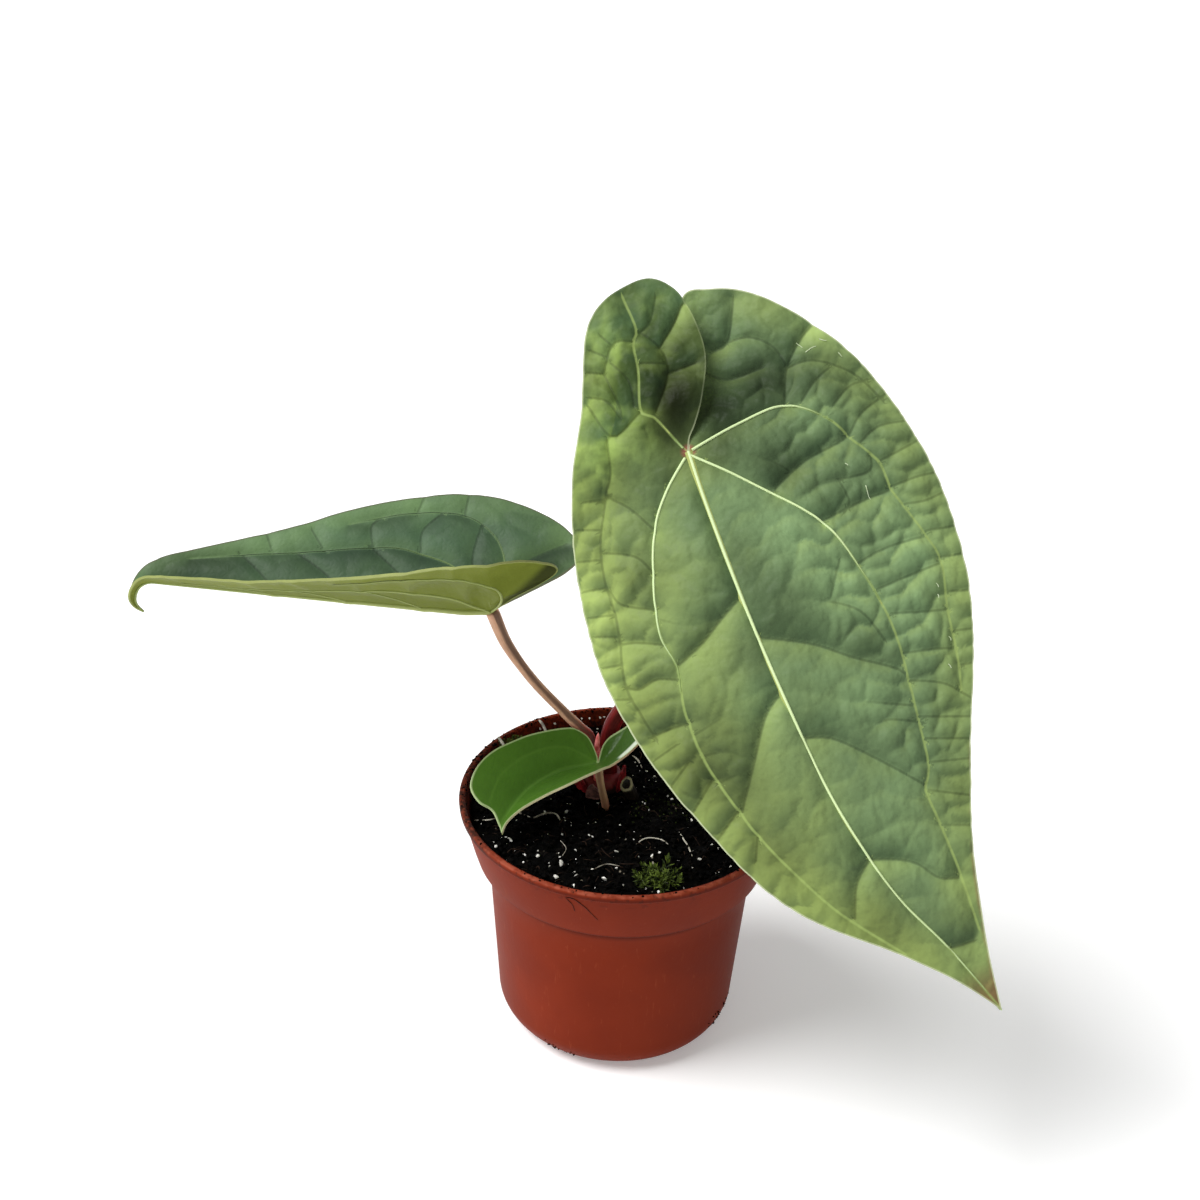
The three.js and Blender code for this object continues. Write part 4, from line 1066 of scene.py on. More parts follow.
big_upper = blade_finish(
    "large_blade_upper", (102, 124, 85), (130, 147, 82), big_warmth_and_painted_sheen, painted_shade=(60, 84, 58), bright=(150, 170, 98),
    roughness=0.45, margin=(184, 192, 156), gloss=0.06, tint_and_painted_light=big_tint_and_shade, contrast=1.3, margin_shade=shaded_inner_lobe, lumps=1.5)
big_under = blade_finish(
    "large_blade_underside", (118, 136, 78), (132, 146, 76), big_warmth_and_painted_sheen, painted_shade=(86, 104, 58), bright=(146, 160, 96),
    roughness=0.5, margin=(184, 190, 144), contrast=0.5)
left_upper = blade_finish(
    "left_blade_upper", (60, 82, 60), (102, 128, 84), fixed_warmth(0.25), painted_shade=(32, 48, 36), bright=(104, 130, 84),
    roughness=0.45, margin=(90, 92, 70), contrast=1.3)
left_under = blade_finish(
    "left_blade_underside", (96, 106, 34), (118, 128, 50), fixed_warmth(0.4), painted_shade=(76, 88, 28),
    bright=(134, 144, 68), roughness=0.55, margin=(146, 154, 88), tint_and_painted_light=left_under_tint_and_shade, contrast=0.3)
small_upper = blade_finish(
    "small_blade_upper", (56, 90, 26), (72, 110, 32), fixed_warmth(0.3), painted_shade=(40, 70, 18), bright=(76, 112, 38),
    roughness=0.33, margin=(160, 178, 126), gloss=0.24, tint_and_painted_light=small_tint_and_highlight)
small_under = blade_finish(
    "small_blade_underside", (104, 134, 62), (116, 144, 70), fixed_warmth(0.4), painted_shade=(84, 110, 50),
    bright=(144, 162, 98), roughness=0.45, margin=(190, 180, 144), contrast=0.5)


def rim_finish(name, right, left, lobes):
    """The cut edge of a blade, which differs between its halves and on its lobes."""
    finish = Finish(name)
    lumps = finish.grain(3, 4)
    colour = finish.mix(finish.attribute("half").step(-0.5, 0.5), left, right)
    colour = finish.mix(finish.attribute("along").step(6, -6) * 0.8, colour, lobes)
    colour = finish.darken(colour, 0.8 + lumps * 0.4)
    return finish.done(colour, 0.5, finish.bump(lumps, 0.05), Specular_IOR_Level=0.15)


# On the big blade the lobes' margin is darker: painted shade
big_rim = rim_finish("large_blade_margin", (176, 184, 148), (178, 184, 142), (96, 106, 78))
left_rim = rim_finish("left_blade_margin", (142, 150, 88), (80, 84, 64), (110, 112, 70))
small_rim = rim_finish("small_blade_margin", (198, 190, 150), (158, 176, 124), (170, 130, 104))


def vein_finish(name, pale, green):
    """A raised vein, pale near the joint and green where it fades."""
    finish = Finish(name)
    lumps = finish.grain(3, 3)
    colour = finish.mix(finish.attribute("pale") * (0.85 + lumps * 0.3), green, pale)
    return finish.done(colour, 0.45, finish.bump(lumps, 0.05), Specular_IOR_Level=0.35)


vein_cream = vein_finish("vein_cream_to_green", (208, 228, 170), (120, 144, 80))
vein_under = vein_finish("vein_underside", (160, 170, 96), (136, 150, 80))
vein_keel = vein_finish("vein_left_blade", (112, 134, 78), (58, 80, 52))


# Blades and their veins

settle(blade_piece("large_blade", BIG, [big_upper, big_under, big_rim]), "blade_green", "blade_large")
settle(blade_piece("left_blade", LEFT, [left_upper, left_under, left_rim]), "blade_blue_green", "blade_left")
settle(blade_piece("small_blade", SMALL, [small_upper, small_under, small_rim]), "blade_bright", "blade_small")

midrib_down = spline(BIG_MIDRIB[::-1], 60)
front = [vein_strand(BIG, midrib_down, 1, 0.48, 0.2, 0.1, 0.8, (0.55, 1.3))]
back = [vein_strand(BIG, midrib_down, 1, 1.25, 0.4, -0.75, fade=(0.3, 1))]
PALE_TO = {1: [(0.25, 0.42), (0.2, 0.34)], -1: [(0.22, 0.42), (-0.2, 0.1)]}
for side in (1, -1):
    for line, fade in zip(big_veins[side]["main"][1:], PALE_TO[side]):
        front.append(vein_strand(BIG, line, side, 0.34, 0.14, 0.12, 1.2, fade, fade[1]))
        back.append(vein_strand(BIG, line, side, 0.8, 0.3, -0.7, fade=(0, 1)))
    for line in big_veins[side]["lateral"]:
        back.append(vein_strand(BIG, line, side, 0.45, 0.25, -0.6, fade=(-1, 0.5)))
settle(strands("large_blade_main_veins", front, vein_cream), "blade_green")
settle(strands("large_blade_back_veins", back, vein_under), "blade_green")

MIDRIB_PIXEL = 690
SCRATCHES = [
    [(797, 341), (800, 343), (803, 346)], [(806, 351), (812, 347), (816, 346)],
    [(819, 339), (824, 341), (826, 341)], [(866, 485), (868, 491), (872, 498)],
    [(838, 353), (841, 356), (842, 357)], [(588, 395), (590, 397), (593, 400)],
    [(936, 583), (938, 585), (939, 587)], [(938, 594), (939, 596), (939, 598)],
    [(950, 636), (952, 638), (952, 640)], [(948, 664), (950, 666), (951, 668)],
    [(845, 463), (847, 464), (848, 465)],
]
scratch_pale = plain_finish("scratch_pale", (206, 218, 184), (180, 196, 150), 1, 0.6, 0.05)
marks = []
for line in SCRATCHES:
    side = -1 if line[0][0] < MIDRIB_PIXEL else 1
    marks.append(vein_strand(BIG, on_blade(big_surface, line, side, BIG_START), side, 0.13, 0.08, 0.1))
settle(strands("large_blade_scratches", marks, scratch_pale, 5), "blade_green")

keel = spline(LEFT_MIDRIB[::-1], 50)
front = [vein_strand(LEFT, keel, 1, 0.35, 0.15, 0.05, fade=(0, 1))]
back = [vein_strand(LEFT, keel, 1, 0.9, 0.3, -0.5, fade=(0, 1))]
for side in (1, -1):
    for i, line in enumerate(left_veins[side]):
        if i < 5:
            back.append(vein_strand(LEFT, line, side, 0.4 if i < 2 else 0.25, 0.12, -0.65, fade=(-0.6, 1)))
        if i < 2:
            front.append(vein_strand(LEFT, line, side, 0.22, 0.1, 0.0, fade=(0.1, 0.5)))
settle(strands("left_blade_veins", front, vein_keel, 6), "blade_blue_green")
settle(strands("left_blade_back_veins", back, vein_under, 6), "blade_blue_green")

back = [vein_strand(SMALL, small_lines[0][::-1], 1, 0.5, 0.12, -0.55, fade=(0, 1))]
settle(strands("small_blade_back_midrib", back, vein_under), "blade_bright")


# Petioles, bud and crown

GROOVE_WIDTH = 0.42


def sweep(name, path, radii, steps, sides, finishes, groove=0.0, facing=(0, -1, 0), dome=0.35):
    """A stem along a path, with a shallow groove on the side that faces one way and rounded ends."""
    centre = spline(path, steps)
    tangent = unit_rows(np.gradient(centre, axis=0))
    front = unit_rows(arr(*facing) - tangent * (tangent @ arr(*facing))[:, None])
    aside = np.cross(tangent, front)
    run = np.linspace(0, 1, steps + 1)
    radius = np.interp(run, np.linspace(0, 1, len(radii)), radii)
    ends = 1 - dome * np.exp(-np.minimum(run, 1 - run) * steps / 0.7)
    angle = full_turn(sides)
    notch = groove * np.exp(-(np.minimum(angle, 2 * np.pi - angle) / GROOVE_WIDTH) ** 2)
    girth = (radius * ends)[:, None] * (1 - notch)[None]
    rings = (centre[:, None] + front[:, None] * (girth * np.cos(angle))[:, :, None]
             + aside[:, None] * (girth * np.sin(angle))[:, :, None])
    points, faces = rings_mesh(rings)
    length = np.linalg.norm(np.diff(centre, axis=0), axis=1).sum()
    skin = np.stack([np.tile(np.cos(angle), (steps + 1, 1)), np.tile(np.sin(angle), (steps + 1, 1)),
                     np.tile((run * length)[:, None], (1, sides))], -1).reshape(-1, 3)
    values = {"girth": np.vstack([skin, skin[:1], skin[-1:]]),
              "run": np.concatenate([np.repeat(run, sides), [0, 1]])}
    return make_piece(name, points, faces, finishes, values=values)


red_petiole = petiole_finish("petiole_deep_red", (112, 26, 26), (112, 74, 46), 0.35, 0.95,
                             streak=(140, 56, 46), groove=(66, 22, 20), gloss=0.1)
tan_petiole = petiole_finish("petiole_tan", (168, 60, 58), (206, 160, 130), 0.26, 0.4,
                             streak=(150, 104, 78), groove=(74, 46, 36))
pale_petiole = petiole_finish("petiole_pale", (150, 84, 70), (182, 148, 112), 0.2, 0.7,
                              streak=(140, 110, 80), groove=(128, 92, 68))
cut_petiole = petiole_finish("petiole_cut", (24, 18, 13), (150, 142, 112), 0.72, 0.84,
                             streak=(60, 48, 36), groove=(40, 30, 22))


settle(sweep("large_petiole", [
    (-3.9, 12.8, 65), (-3.8, 12.8, 68), (-4.3, 12.8, 72), (-4.9, 12.8, 77.5), (-3.8, 12.6, 85),
    (-1.7, 12.3, 90.3), (1.4, 11.6, 96.5), (5.8, 10, 107.3), (10, 7, 128), (13, 3.5, 150), (14, -0.5, 168),
    BIG_JOINT - 0.9 * big_normal,
], [2.4, 2.4, 2.25, 2.0, 1.9, 1.85, 1.85, 1.9, 1.9, 2.3], 110, 28, [red_petiole], 0.16, dome=0.15),
    "petiole_red", "petiole_large")
settle(sweep("left_petiole", [
    (-9.3, 11, 65), (-9.3, 11, 69), (-9.1, 11, 76.5), (-9.9, 11, 82.6), (-12.3, 10.9, 85.4), (-17.2, 10.4, 91),
    (-25.7, 9.4, 101.5), (-32.7, 8.6, 112.8), (-36.4, 8.1, 122.4), (-36.9, 8, 123.5),
], [1.9, 1.8, 1.55, 1.4, 1.4, 1.45, 1.7, 1.9], 84, 24, [tan_petiole], 0.22, (0.75, -0.66, 0), 0.1),
    "petiole_tan", "petiole_left")
settle(sweep("small_petiole", [
    (-4.4, 0.2, 60), (-4.6, 0.2, 66.5), (-6.2, 0.6, 73.9), (-7.25, 1.3, 79.7),
], [1.2, 1.1, 1.0, 1.25], 34, 18, [pale_petiole], 0.12), "petiole_tan", "petiole_small")


STUB_SIDES = 24


def cut_stub():
    """The stub of an old petiole: a pale ring round a sunken, dry middle."""
    path = spline([(4.4, 6.8, 60), (2.8, 5.3, 66.5), (0.8, 4, 72.2)], 16)
    lean = unit(path[-1] - path[-2])
    side = unit(np.cross(lean, (0, 1, 0)))
    other = np.cross(lean, side)
    angle = full_turn(STUB_SIDES)
    wobble = 1 + 0.05 * np.sin(3 * angle + 1) + 0.03 * np.sin(7 * angle)

    def ring(middle, radius, drop=0.0):
        spoke = np.cos(angle)[:, None] * side + np.sin(angle)[:, None] * other
        return middle - lean * drop + spoke * (radius * wobble)[:, None]

    top = path[-1]
    rings = [ring(p, 1.9 - 0.1 * math.sin(i)) for i, p in enumerate(path[:-1])]
    rings += [ring(top, 1.8, 0.25), ring(top, 1.6), ring(top, 1.3), ring(top, 1.05, 0.4), ring(top, 0.5, 0.7)]
    rings = np.array(rings)
    slant = smoothstep(70.0, 71.8, rings.mean(1)[:, 2:])
    rings[:, :, 2] += slant * 0.5 * (rings[:, :, 1] - rings[:, :, 1].mean(1, keepdims=True))
    points, faces = rings_mesh(rings)
    run = np.repeat([*np.linspace(0, 0.8, len(rings) - 4), 0.95, 1, 0.5, 0], STUB_SIDES)
    values = {"run": np.concatenate([run, [0, 0]]), "girth": points * (0, 1, 1)}
    return make_piece("old_petiole_stub", points, faces, [cut_petiole], values=values)


settle(cut_stub(), "petiole_tan", "petiole_stub")

bud_finish = plain_finish("bud_pink", (240, 140, 136), (196, 56, 58), 2.5, 0.4, 0.15)
bud_path = [(-7, 8.4, 66), (-7.2, 8.2, 73), (-7.6, 8, 81), (-7.4, 8, 86)]
bud_radii = [0.15 + 1.05 * math.sqrt(1 - (i / 20) ** 2) for i in range(21)]
settle(sweep("leaf_bud_tip", bud_path, bud_radii, 40, 16, [bud_finish]), "red_tissue", "leaf_bud")

CROWN = arr(-6.5, 12.2, 0)
CROWN_SIDES = 72
CROWN_LEVELS = [(58, 5.6), (62, 6.2), (65, 6.4), (67, 6.45), (68.6, 6.4), (69.8, 6.0), (70.3, 5.4), (70.5, 4.2),
                (70.5, 2)]


def crown_piece():
    """The short stem, wavy round its sides, dark brown at its foot and red above."""
    angle = full_turn(CROWN_SIDES)
    rings = []
    for z, radius in CROWN_LEVELS:
        bumps = 1 + 0.035 * np.sin(9 * angle + 0.4 * z) * (radius > 3) + 0.02 * np.sin(23 * angle + z)
        reach = np.minimum(radius * bumps, 6.6)
        rings.append(round_axis(reach, angle, z, CROWN))
    points, faces = rings_mesh(np.array(rings))
    finish = Finish("crown_red_brown")
    z = finish.height()
    lumps = finish.grain(2.2, 4, (1, 1, 0.4))
    colour = finish.mix((z + (lumps - 0.5) * 3).step(67.3, 69.4), (44, 22, 15), (112, 28, 30))
    colour = finish.darken(colour, 0.65 + lumps * 0.7)
    material = finish.done(colour, 0.55, finish.bump(lumps, 0.5), Specular_IOR_Level=0.35)
    return make_piece("crown_base", points, faces, [material])


settle(crown_piece(), "crown_tissue", "crown")

SOIL_LEVEL = 66.5


def sheath_piece(name, bearing, spread, height, lean, radius, finish, curl=0.0):
    """A pointed scale leaf that wraps part of the crown."""
    rows, columns = 22, 18
    up = np.linspace(0, 1, rows + 1)[:, None]
    across = np.linspace(-1, 1, columns + 1)[None, :]
    width = spread * np.sqrt(np.maximum(1 - up**1.7, 0)) + 0.02 * spread
    angle = np.radians(bearing + width * across)
    fray = 0.25 * np.sin(17 * across + 2) * up
    skins = []
    for skin in (0.62, 0.1):
        reach = radius + skin + lean * up**2 + curl * up * across**2
        skins.append(np.stack([CROWN[0] + reach * np.sin(angle), CROWN[1] - reach * np.cos(angle),
                               SOIL_LEVEL + 0.6 + (height - 0.3) * up + fray + 0 * across], -1))
    outer, inner = skins
    rings = np.concatenate([outer, inner[:, ::-1]], axis=1)
    points, faces = rings_mesh(rings, False)
    count = rings.shape[1]
    for i, flip in ((0, True), (rows, False)):
        for j in range(columns):
            quad = [i * count + j, i * count + j + 1, i * count + count - 2 - j, i * count + count - 1 - j]
            faces.append(quad[::-1] if flip else quad)
    return make_piece(name, points, faces, [finish], sharp=60)


sheath_red = plain_finish("sheath_red", (146, 30, 34), (92, 16, 18), 1.8, 0.45, 0.2, 0.2)
sheath_brown = plain_finish("sheath_dry_brown", (124, 84, 74), (70, 42, 36), 1.2, 0.6, 0.3)
settle(sheath_piece("right_sheath", 72, 29, 7, -0.2, 6.7, sheath_red), "red_tissue", "sheath_right")
settle(sheath_piece("left_sheath", -60, 32, 5.4, 0.5, 6.7, sheath_red), "red_tissue", "sheath_left")
settle(sheath_piece("dry_sheath", -12, 13, 5.5, 0.8, 8.5, sheath_brown, 0.5), "dry_scale", "sheath_dry")


# Pot

def arc(x, z, radius, start, end, steps):
    angles = np.radians(np.linspace(start, end, steps + 1))
    return [(x + radius * math.cos(a), z + radius * math.sin(a)) for a in angles]


FOOT_MIDDLE, FOOT_ROUND = 24.5, 9
POT_SIDES = 144
HOLE_COUNT, HOLE_REACH, HOLE_RADIUS, HOLE_SIDES = 6, 17, 3.2, 28


def pot_piece():
    """The pot as one turned wall, from the middle of its foot up the outside and down the inside."""
    outside = [(12, 0), (20, 0)] + arc(FOOT_MIDDLE, FOOT_ROUND, FOOT_ROUND, -90, 0, 14)
    outside += [(34.3, 20), (35.2, 32), (36.1, 44)]
    outside += [(36.85, 53.2), (37.2, 53.9), (38, 54)] + arc(39.6, 54.6, 0.6, -90, -10, 4)
    outside += [(41.4, 58.5), (42.6, 63), (43.7, 67.6), (44.0, 68.8)] + arc(44.4, 69.4, 0.5, -60, 0, 3)
    outside += arc(44.35, 70.35, 0.65, 0, 90, 5)
    inside = arc(43.75, 70.4, 0.6, 90, 180, 4)
    inside += [(42.8, 69), (41.6, 64.5), (40.3, 60), (39.1, 55.6), (38.4, 55.2), (36.4, 55.2), (35.7, 54.6),
               (34.6, 40), (33.4, 24)]
    inside += arc(FOOT_MIDDLE, 9.4, 7.8, 0, -90, 10) + [(18, 1.6), (8, 1.6), (3, 1.6)]
    profile = np.array([(3, 0)] + outside + inside)
    angle = full_turn(POT_SIDES)
    points, faces = rings_mesh(round_axis(profile[:, :1], angle, profile[:, 1:]))
    turned = POT_SIDES * (1 + len(outside))
    slots = [1 if min(face) >= turned else 0 for face in faces]
    plastics = [pot_finish("terracotta_plastic", False), pot_finish("terracotta_plastic_inside", True)]
    pot = make_piece("nursery_pot", points, faces, plastics, slots=slots, sharp=50)

    cut_points, cut_faces = [], []
    for turn in full_turn(HOLE_COUNT):
        spot = HOLE_REACH * np.array([math.cos(turn), math.sin(turn)])
        start = sum(len(p) for p in cut_points)
        ends = [round_axis(HOLE_RADIUS, full_turn(HOLE_SIDES), z, spot) for z in (-2, 4)]
        more, quads = rings_mesh(np.array(ends))
        cut_points.append(more)
        cut_faces += [[start + i for i in quad] for quad in quads]
    cutter = make_piece("drain_hole_cutter", np.vstack(cut_points), cut_faces, [])
    cut = pot.modifiers.new("drain_holes", "BOOLEAN")
    cut.operation, cut.object, cut.solver = "DIFFERENCE", cutter, "EXACT"
    applied(pot)
    bpy.data.objects.remove(cutter)
    return pot


settle(pot_piece(), "pot_plastic", "pot")


# Soil and what lies on it

def from_crown(x, y):
    return np.hypot(x - CROWN[0], y - CROWN[1])


def ground(x, y):
    """Height of the soil, as in the part's source."""
    waves = np.sin(0.31 * x + 1.3) * np.cos(0.27 * y - 0.4) + 0.6 * np.sin(0.55 * x - 0.43 * y)
    return SOIL_LEVEL + 0.8 * waves * smoothstep(11, 22, from_crown(x, y))


def on_ground(pixels, lift=0.0):
    """The points of the soil's surface that the camera sees at these pixels."""
    spots = at_height(pixels, SOIL_LEVEL)
    for _ in range(6):
        heights = ground(spots[:, 0], spots[:, 1])
        spots = np.vstack([at_height([pixel], z) for pixel, z in zip(pixels, heights)])
    spots[:, 2] += lift
    return spots


SOIL_SIDES = 160


def soil_piece(finish):
    """The filling of the pot: its wall, then rings that close in over the crumbly top."""
    angle = full_turn(SOIL_SIDES)
    wall = [(23.9, 1.9), (29.6, 3.7), (32, 9.7), (35.4, 55.5), (38.7, 55.5), (41.2, 64)]
    rings = [round_axis(r, angle, z) for r, z in wall]
    for r in np.r_[41.6, 41.2, np.linspace(40.4, 1.2, 66)]:
        x, y = r * np.cos(angle), r * np.sin(angle)
        rough = [noise.fractal(Vector((a * 0.42, b * 0.42, 3)), 1.0, 2.0, 4) for a, b in zip(x, y)]
        dip = 0.9 * smoothstep(40.6, 41.6, r)
        near = smoothstep(6, 10, from_crown(x, y))
        rings.append(np.stack([x, y, ground(x, y) + 0.75 * np.array(rough) * (0.3 + 0.7 * near) - dip], -1))
    points, faces = rings_mesh(np.array(rings))
    return make_piece("potting_soil", points, faces, [finish])


soil_dark = soil_finish()
settle(soil_piece(soil_dark), "potting_mix", "soil")

MOUTH = 40.5
CRUMB_COUNT, DUST_COUNT, FIBRE_COUNT = 2600, 300, 200
random = np.random.default_rng(5)


def ico(name, subdivisions):
    """A ball with a radius of a millimetre, to be strewn."""
    shape = bmesh.new()
    bmesh.ops.create_icosphere(shape, subdivisions=subdivisions, radius=MM)
    mesh = bpy.data.meshes.new(name)
    shape.to_mesh(mesh)
    shape.free()
    piece = bpy.data.objects.new(name, mesh)
    bpy.context.scene.collection.objects.link(piece)
    return piece


def scattered(count, low, high, clear=7.0):
    """Random places on the soil, away from the crown."""
    reach, turn = np.sqrt(random.uniform(low**2, high**2, count)), random.uniform(0, 2 * np.pi, count)
    x, y = reach * np.cos(turn), reach * np.sin(turn)
    return np.column_stack([x, y, ground(x, y)])[from_crown(x, y) > clear]


grain, chip = ico("grain_form", 1), ico("chip_form", 2)
crumbs = scattered(CRUMB_COUNT, 0, MOUTH)
crumb_sizes = random.uniform(0.25, 0.95, len(crumbs)) ** 1.3
crumbs[:, 2] += 0.3 * crumb_sizes
settle(strewn("peat_crumbs", crumbs, crumb_sizes, grain, soil_dark,
              stretch=0.35, tumble=math.pi, crumple=0.5, seed=3), "potting_mix")

PERLITE_SEEN = [
    (528, 825), (510, 841), (484, 836), (496, 847), (567, 812), (524, 863), (538, 857), (616, 852), (634, 841),
    (617, 869), (620, 826), (652, 857), (659, 853), (692, 821), (712, 847), (646, 772), (652, 780), (566, 822),
    (561, 864), (604, 880), (592, 870), (640, 826), (700, 860), (672, 800), (556, 878),
]
WALL_BITS = [(591, 721), (600, 717), (605, 722), (612, 709), (585, 725), (545, 733), (560, 730)]
on_wall = at_height(WALL_BITS, 69)
on_wall[:, :2] = unit_rows(on_wall[:, :2]) * 42.4
seen = np.vstack([on_ground(PERLITE_SEEN, 0.25), on_wall])
dust = scattered(DUST_COUNT, 0, 40, 9)
perlite_sizes = np.r_[random.uniform(0.25, 0.62, len(seen)), random.uniform(0.1, 0.32, len(dust))]
perlite_sizes[len(PERLITE_SEEN):len(seen)] *= 0.6
perlite_white = plain_finish("perlite_white", (246, 245, 240), (206, 202, 192), 0.8, 0.8, 0.2)
settle(strewn("perlite_grains", np.vstack([seen, dust]), perlite_sizes, chip, perlite_white,
              stretch=0.5, tumble=math.pi, crumple=1.1, seed=8), "potting_mix")

root_pale = plain_finish("root_pale", (206, 200, 186), (96, 86, 72), 4, 0.6, 0.1)
root_brown = plain_finish("root_brown", (48, 33, 24), (24, 15, 11), 1.5, 0.7, 0.1, 0.1)


def thread(points, radius, tail=0.35):
    """A line for a strand that gets thinner at both ends."""
    path = spline(points, 7 * len(points))
    run = np.linspace(-1, 1, len(path))
    return np.column_stack([path, radius * (tail + (1 - tail) * np.sqrt(np.maximum(1 - run**4, 0)))])


PALE_ROOTS = [
    ([(500, 816), (510, 813), (520, 815), (530, 819)], 0.26),
    ([(533, 820), (546, 815), (556, 816), (560, 822)], 0.26),
    ([(474, 822), (487, 822), (497, 820)], 0.2), ([(636, 846), (646, 840), (660, 841), (668, 846)], 0.17),
    ([(679, 834), (684, 842), (688, 848), (692, 858)], 0.22), ([(652, 858), (653, 866), (652, 877)], 0.24),
    ([(632, 757), (638, 762), (642, 770)], 0.24), ([(594, 871), (606, 866), (620, 868)], 0.13),
    ([(560, 842), (566, 850), (562, 858)], 0.1), ([(600, 752), (612, 760), (618, 772)], 0.14),
]
settle(strands("pale_roots", [thread(on_ground(pixels, 0.6), r) for pixels, r in PALE_ROOTS], root_pale, 7),
       "potting_mix")

fibres = []
for spot in scattered(FIBRE_COUNT, 2, 38, 8):
    turn, length = random.uniform(0, 2 * np.pi), random.uniform(1.2, 4.5)
    bend = random.uniform(-0.6, 0.6)
    way = np.array([math.cos(turn), math.sin(turn), 0])
    aside = np.array([-way[1], way[0], 0])
    middle = spot + way * length / 2 + aside * bend + (0, 0, random.uniform(0.5, 1.1))
    end = spot + way * length + (0, 0, random.uniform(0, 0.8))
    if np.hypot(*end[:2]) < 40:
        fibres.append(thread([spot, middle, end], random.uniform(0.09, 0.2), 0.3)[::3])
settle(strands("peat_fibres", fibres, root_brown, 4), "potting_mix")


# Moss

LEAF_FACES = [(0, 1, 3), (0, 3, 2), (0, 2, 1), (4, 3, 1), (4, 2, 3), (4, 1, 2)]


def moss_shoot():
    """One shoot, a millimetre tall: slim closed leaves that spiral up round its axis."""
    points, faces = [], []
    for i in range(12):
        turn, rise = i * 2.4, 0.1 + 0.06 * i
        out = np.array([math.cos(turn), math.sin(turn), 0])
        aside = np.array([-out[1], out[0], 0])
        foot = np.array([0, 0, rise])
        length = 0.62 - 0.028 * i
        climb = 0.25 + 0.09 * i
        tip = foot + out * length * math.cos(climb) + arr(0, 0, length * math.sin(climb))
        middle = foot + (tip - foot) * 0.35
        start = len(points)
        points += [foot, middle + aside * 0.09, middle - aside * 0.09, middle + arr(0, 0, 0.07), tip]
        faces += [[start + corner for corner in face] for face in LEAF_FACES]
    return make_piece("moss_shoot_form", np.array(points), faces)


def moss_finish():
    """Dark at the foot of the shoots and bright at their tips."""
    finish = Finish("moss_green")
    tone = finish.grain(2, 3)
    colour = finish.mix(tone.step(0.35, 0.65), (30, 42, 10), (100, 118, 42))
    colour = finish.darken(colour, finish.height().step(66, 69.5) * 0.75 + 0.25)
    return finish.done(colour, 0.65, finish.bump(finish.grain(0.6), 0.1), Specular_IOR_Level=0.2)


MOSS = arr(9.6, -32, 66.5)
MOSS_SHOOTS, FILM_SHOOTS = 64, 26
GOLDEN_TURN = 2.399963
moss_green = moss_finish()
shoot = moss_shoot()
spots, sizes = [], []
for i in range(MOSS_SHOOTS):
    turn, reach = i * GOLDEN_TURN, math.sqrt((i + 0.5) / MOSS_SHOOTS)
    x, y = MOSS[0] + 5.0 * reach * math.cos(turn), MOSS[1] + 4.3 * reach * math.sin(turn)
    spots.append((x, y, MOSS[2] - 0.7 + 1.3 * math.sqrt(1 - reach**2)))
    sizes.append(random.uniform(1.6, 4.6))
settle(strewn("moss_tuft_shoots", spots, sizes, shoot, moss_green,
              stretch=0.35, tumble=1.0, crumple=0.5, seed=4), "moss", "moss_tuft")

film = on_ground([(665, 806), (650, 800), (676, 818), (640, 812), (684, 800), (500, 741), (510, 737)])
film_places, film_sizes = [], []
for spot in film:
    for _ in range(FILM_SHOOTS):
        x, y = spot[:2] + random.normal(0, 2.6, 2)
        if np.hypot(x, y) < MOUTH and from_crown(x, y) > 8:
            film_places.append((x, y, float(ground(x, y)) - 0.1))
            film_sizes.append(random.uniform(0.5, 1.1))
settle(strewn("moss_film", film_places, film_sizes, shoot, moss_green,
              stretch=0.2, tumble=0.8, crumple=0.1, seed=6), "moss")

# Dirt and bits on the rim, and a thread on the collar

RIM_TOP = 71.0
LIP_DIRT = [(100, 7, 90), (128, 9, 110), (165, 20, 130), (262, 16, 50), (235, 5, 30)]
FOOT_DIRT = [(240, 6, 40), (333, 5, 40)]


def bearings_of(heaps):
    """Bearings for heaps of dirt, each with its middle, its spread and its count."""
    return np.radians(np.concatenate([random.normal(*heap) for heap in heaps]))


bearings = bearings_of(LIP_DIRT)
lip_reach = random.uniform(43.0, 44.7, len(bearings))
lip = round_axis(lip_reach, bearings, RIM_TOP - np.abs(random.normal(0, 0.25, len(bearings))))
bearings = bearings_of(FOOT_DIRT)
foot_height = random.uniform(1.2, 6, len(bearings)) + np.repeat((0, 4), 40)
foot_reach = FOOT_MIDDLE + np.sqrt(FOOT_ROUND**2 - np.maximum(FOOT_ROUND - foot_height, 0) ** 2) + 0.02
foot = round_axis(foot_reach, bearings, foot_height)
dirt_sizes = random.uniform(0.08, 0.36, len(lip) + len(foot))
settle(strewn("rim_dirt", np.vstack([lip, foot]), dirt_sizes, grain, soil_dark,
              stretch=0.4, tumble=math.pi, crumple=0.4, seed=11), "potting_mix")

clump = at_height([(500, 742), (505, 746), (511, 741), (517, 738), (534, 889), (548, 894), (558, 896)], 70.6)
clump_places = np.vstack([spot + random.normal(0, 1, (30, 3)) * (0.9, 0.7, 0.25) for spot in clump])
clump_places = clump_places[np.hypot(clump_places[:, 0], clump_places[:, 1]) < 44.2]
clump_sizes = random.uniform(0.5, 1.1, len(clump_places))
settle(strewn("rim_moss", clump_places, clump_sizes, shoot, moss_green,
              stretch=0.2, tumble=1.2, crumple=0.1, seed=13), "moss")

RIM_BITS = [[(498, 737), (501, 741), (505, 747)], [(539, 720), (543, 725), (546, 732)]]
settle(strands("rim_bits", [thread(at_height(bit, 71.5), 0.42) for bit in RIM_BITS], root_pale, 7), "potting_mix")


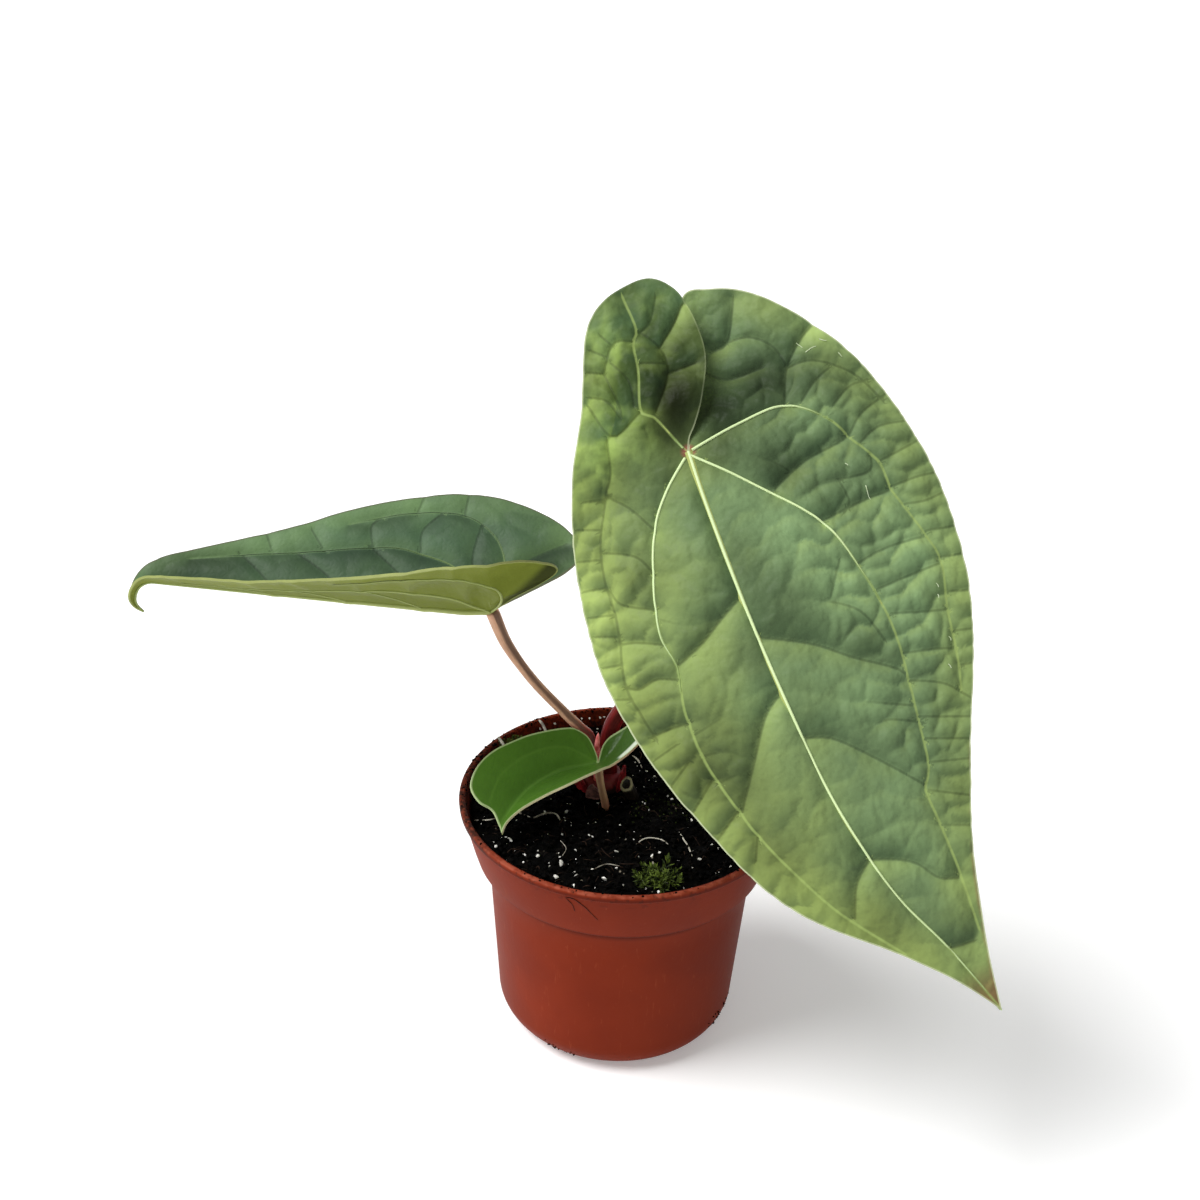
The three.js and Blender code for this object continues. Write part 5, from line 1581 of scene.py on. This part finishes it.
COLLAR_HEIGHTS, COLLAR_REACHES = (54.6, 68.5), (40.4, 43.9)


def on_collar(pixels):
    """The points just off the pot's collar that the camera sees at these pixels, found by halving."""
    spots = []
    for pixel in pixels:
        low, high = COLLAR_HEIGHTS
        for _ in range(30):
            z = (low + high) / 2
            spot = at_height([pixel], z)[0]
            wall = np.interp(z, COLLAR_HEIGHTS, COLLAR_REACHES)
            low, high = (low, z) if np.hypot(*spot[:2]) > wall else (z, high)
        spots.append(spot + arr(*(spot[:2] / wall * 0.12), 0))
    return np.array(spots)


thread_brown = plain_finish("thread_brown", (84, 34, 20), (48, 18, 12), 2, 0.6, 0.05, 0.1)
COLLAR_THREADS = [[(565, 897), (574, 899), (585, 907), (592, 914), (598, 920)],
                  [(566, 898), (572, 904), (575, 911)]]
settle(strands("collar_thread", [thread(on_collar(line), 0.13) for line in COLLAR_THREADS], thread_brown, 6),
       "potting_mix")

for form in (grain, chip, shoot):
    bpy.data.objects.remove(form)


# Floor and light

FLOOR_REACH = 6000
FLOOR_TONES = (0.9, 0.9, 0.9, 1), (0.93, 0.93, 0.93, 1)
LAMP_WAY = Vector((-0.55, -0.12, 0.83))
LAMP_WIDTH = math.radians(38)
LAMP_STRENGTH = 3.5


def add_stage():
    """A white floor that glows a little as painted light, a room that is brighter low down, and one wide soft lamp
    from the upper left.
    """
    corners = [(x * FLOOR_REACH, y * FLOOR_REACH, 0) for x, y in ((-1, -1), (1, -1), (1, 1), (-1, 1))]
    finish = Finish("floor_white")
    colour = finish.mix(finish.grain(900, 2), *FLOOR_TONES)
    # The floor's glow is painted light: it lifts the shadows on the floor and lights the plant from below
    white = finish.done(colour, 0.9, Specular_IOR_Level=0.1, Emission_Strength=0.24)
    floor = make_piece("floor", corners, [[0, 1, 2, 3]], [white])
    world = bpy.data.worlds.new("soft_room")
    bpy.context.scene.world = world
    world.use_nodes = True
    room = Nodes(world.node_tree)
    room.tree.nodes.clear()
    way = room.add("ShaderNodeTexCoord", output="Generated")
    rise = room.add("ShaderNodeSeparateXYZ", sockets={0: way}, output=2)
    sky = room.add("ShaderNodeBackground", sockets={
        "Color": (1, 1, 1, 1), "Strength": 0.3 + rise.step(0.34, 0.13) * 0.74})
    room.add("ShaderNodeOutputWorld", sockets={"Surface": sky})
    lamp = bpy.data.lights.new("soft_box", "SUN")
    lamp.angle, lamp.energy = LAMP_WIDTH, LAMP_STRENGTH
    light = bpy.data.objects.new("soft_box", lamp)
    bpy.context.scene.collection.objects.link(light)
    light.rotation_euler = LAMP_WAY.to_track_quat("Z", "Y").to_euler()
    bpy.context.scene.view_settings.view_transform = "Standard"


add_stage()
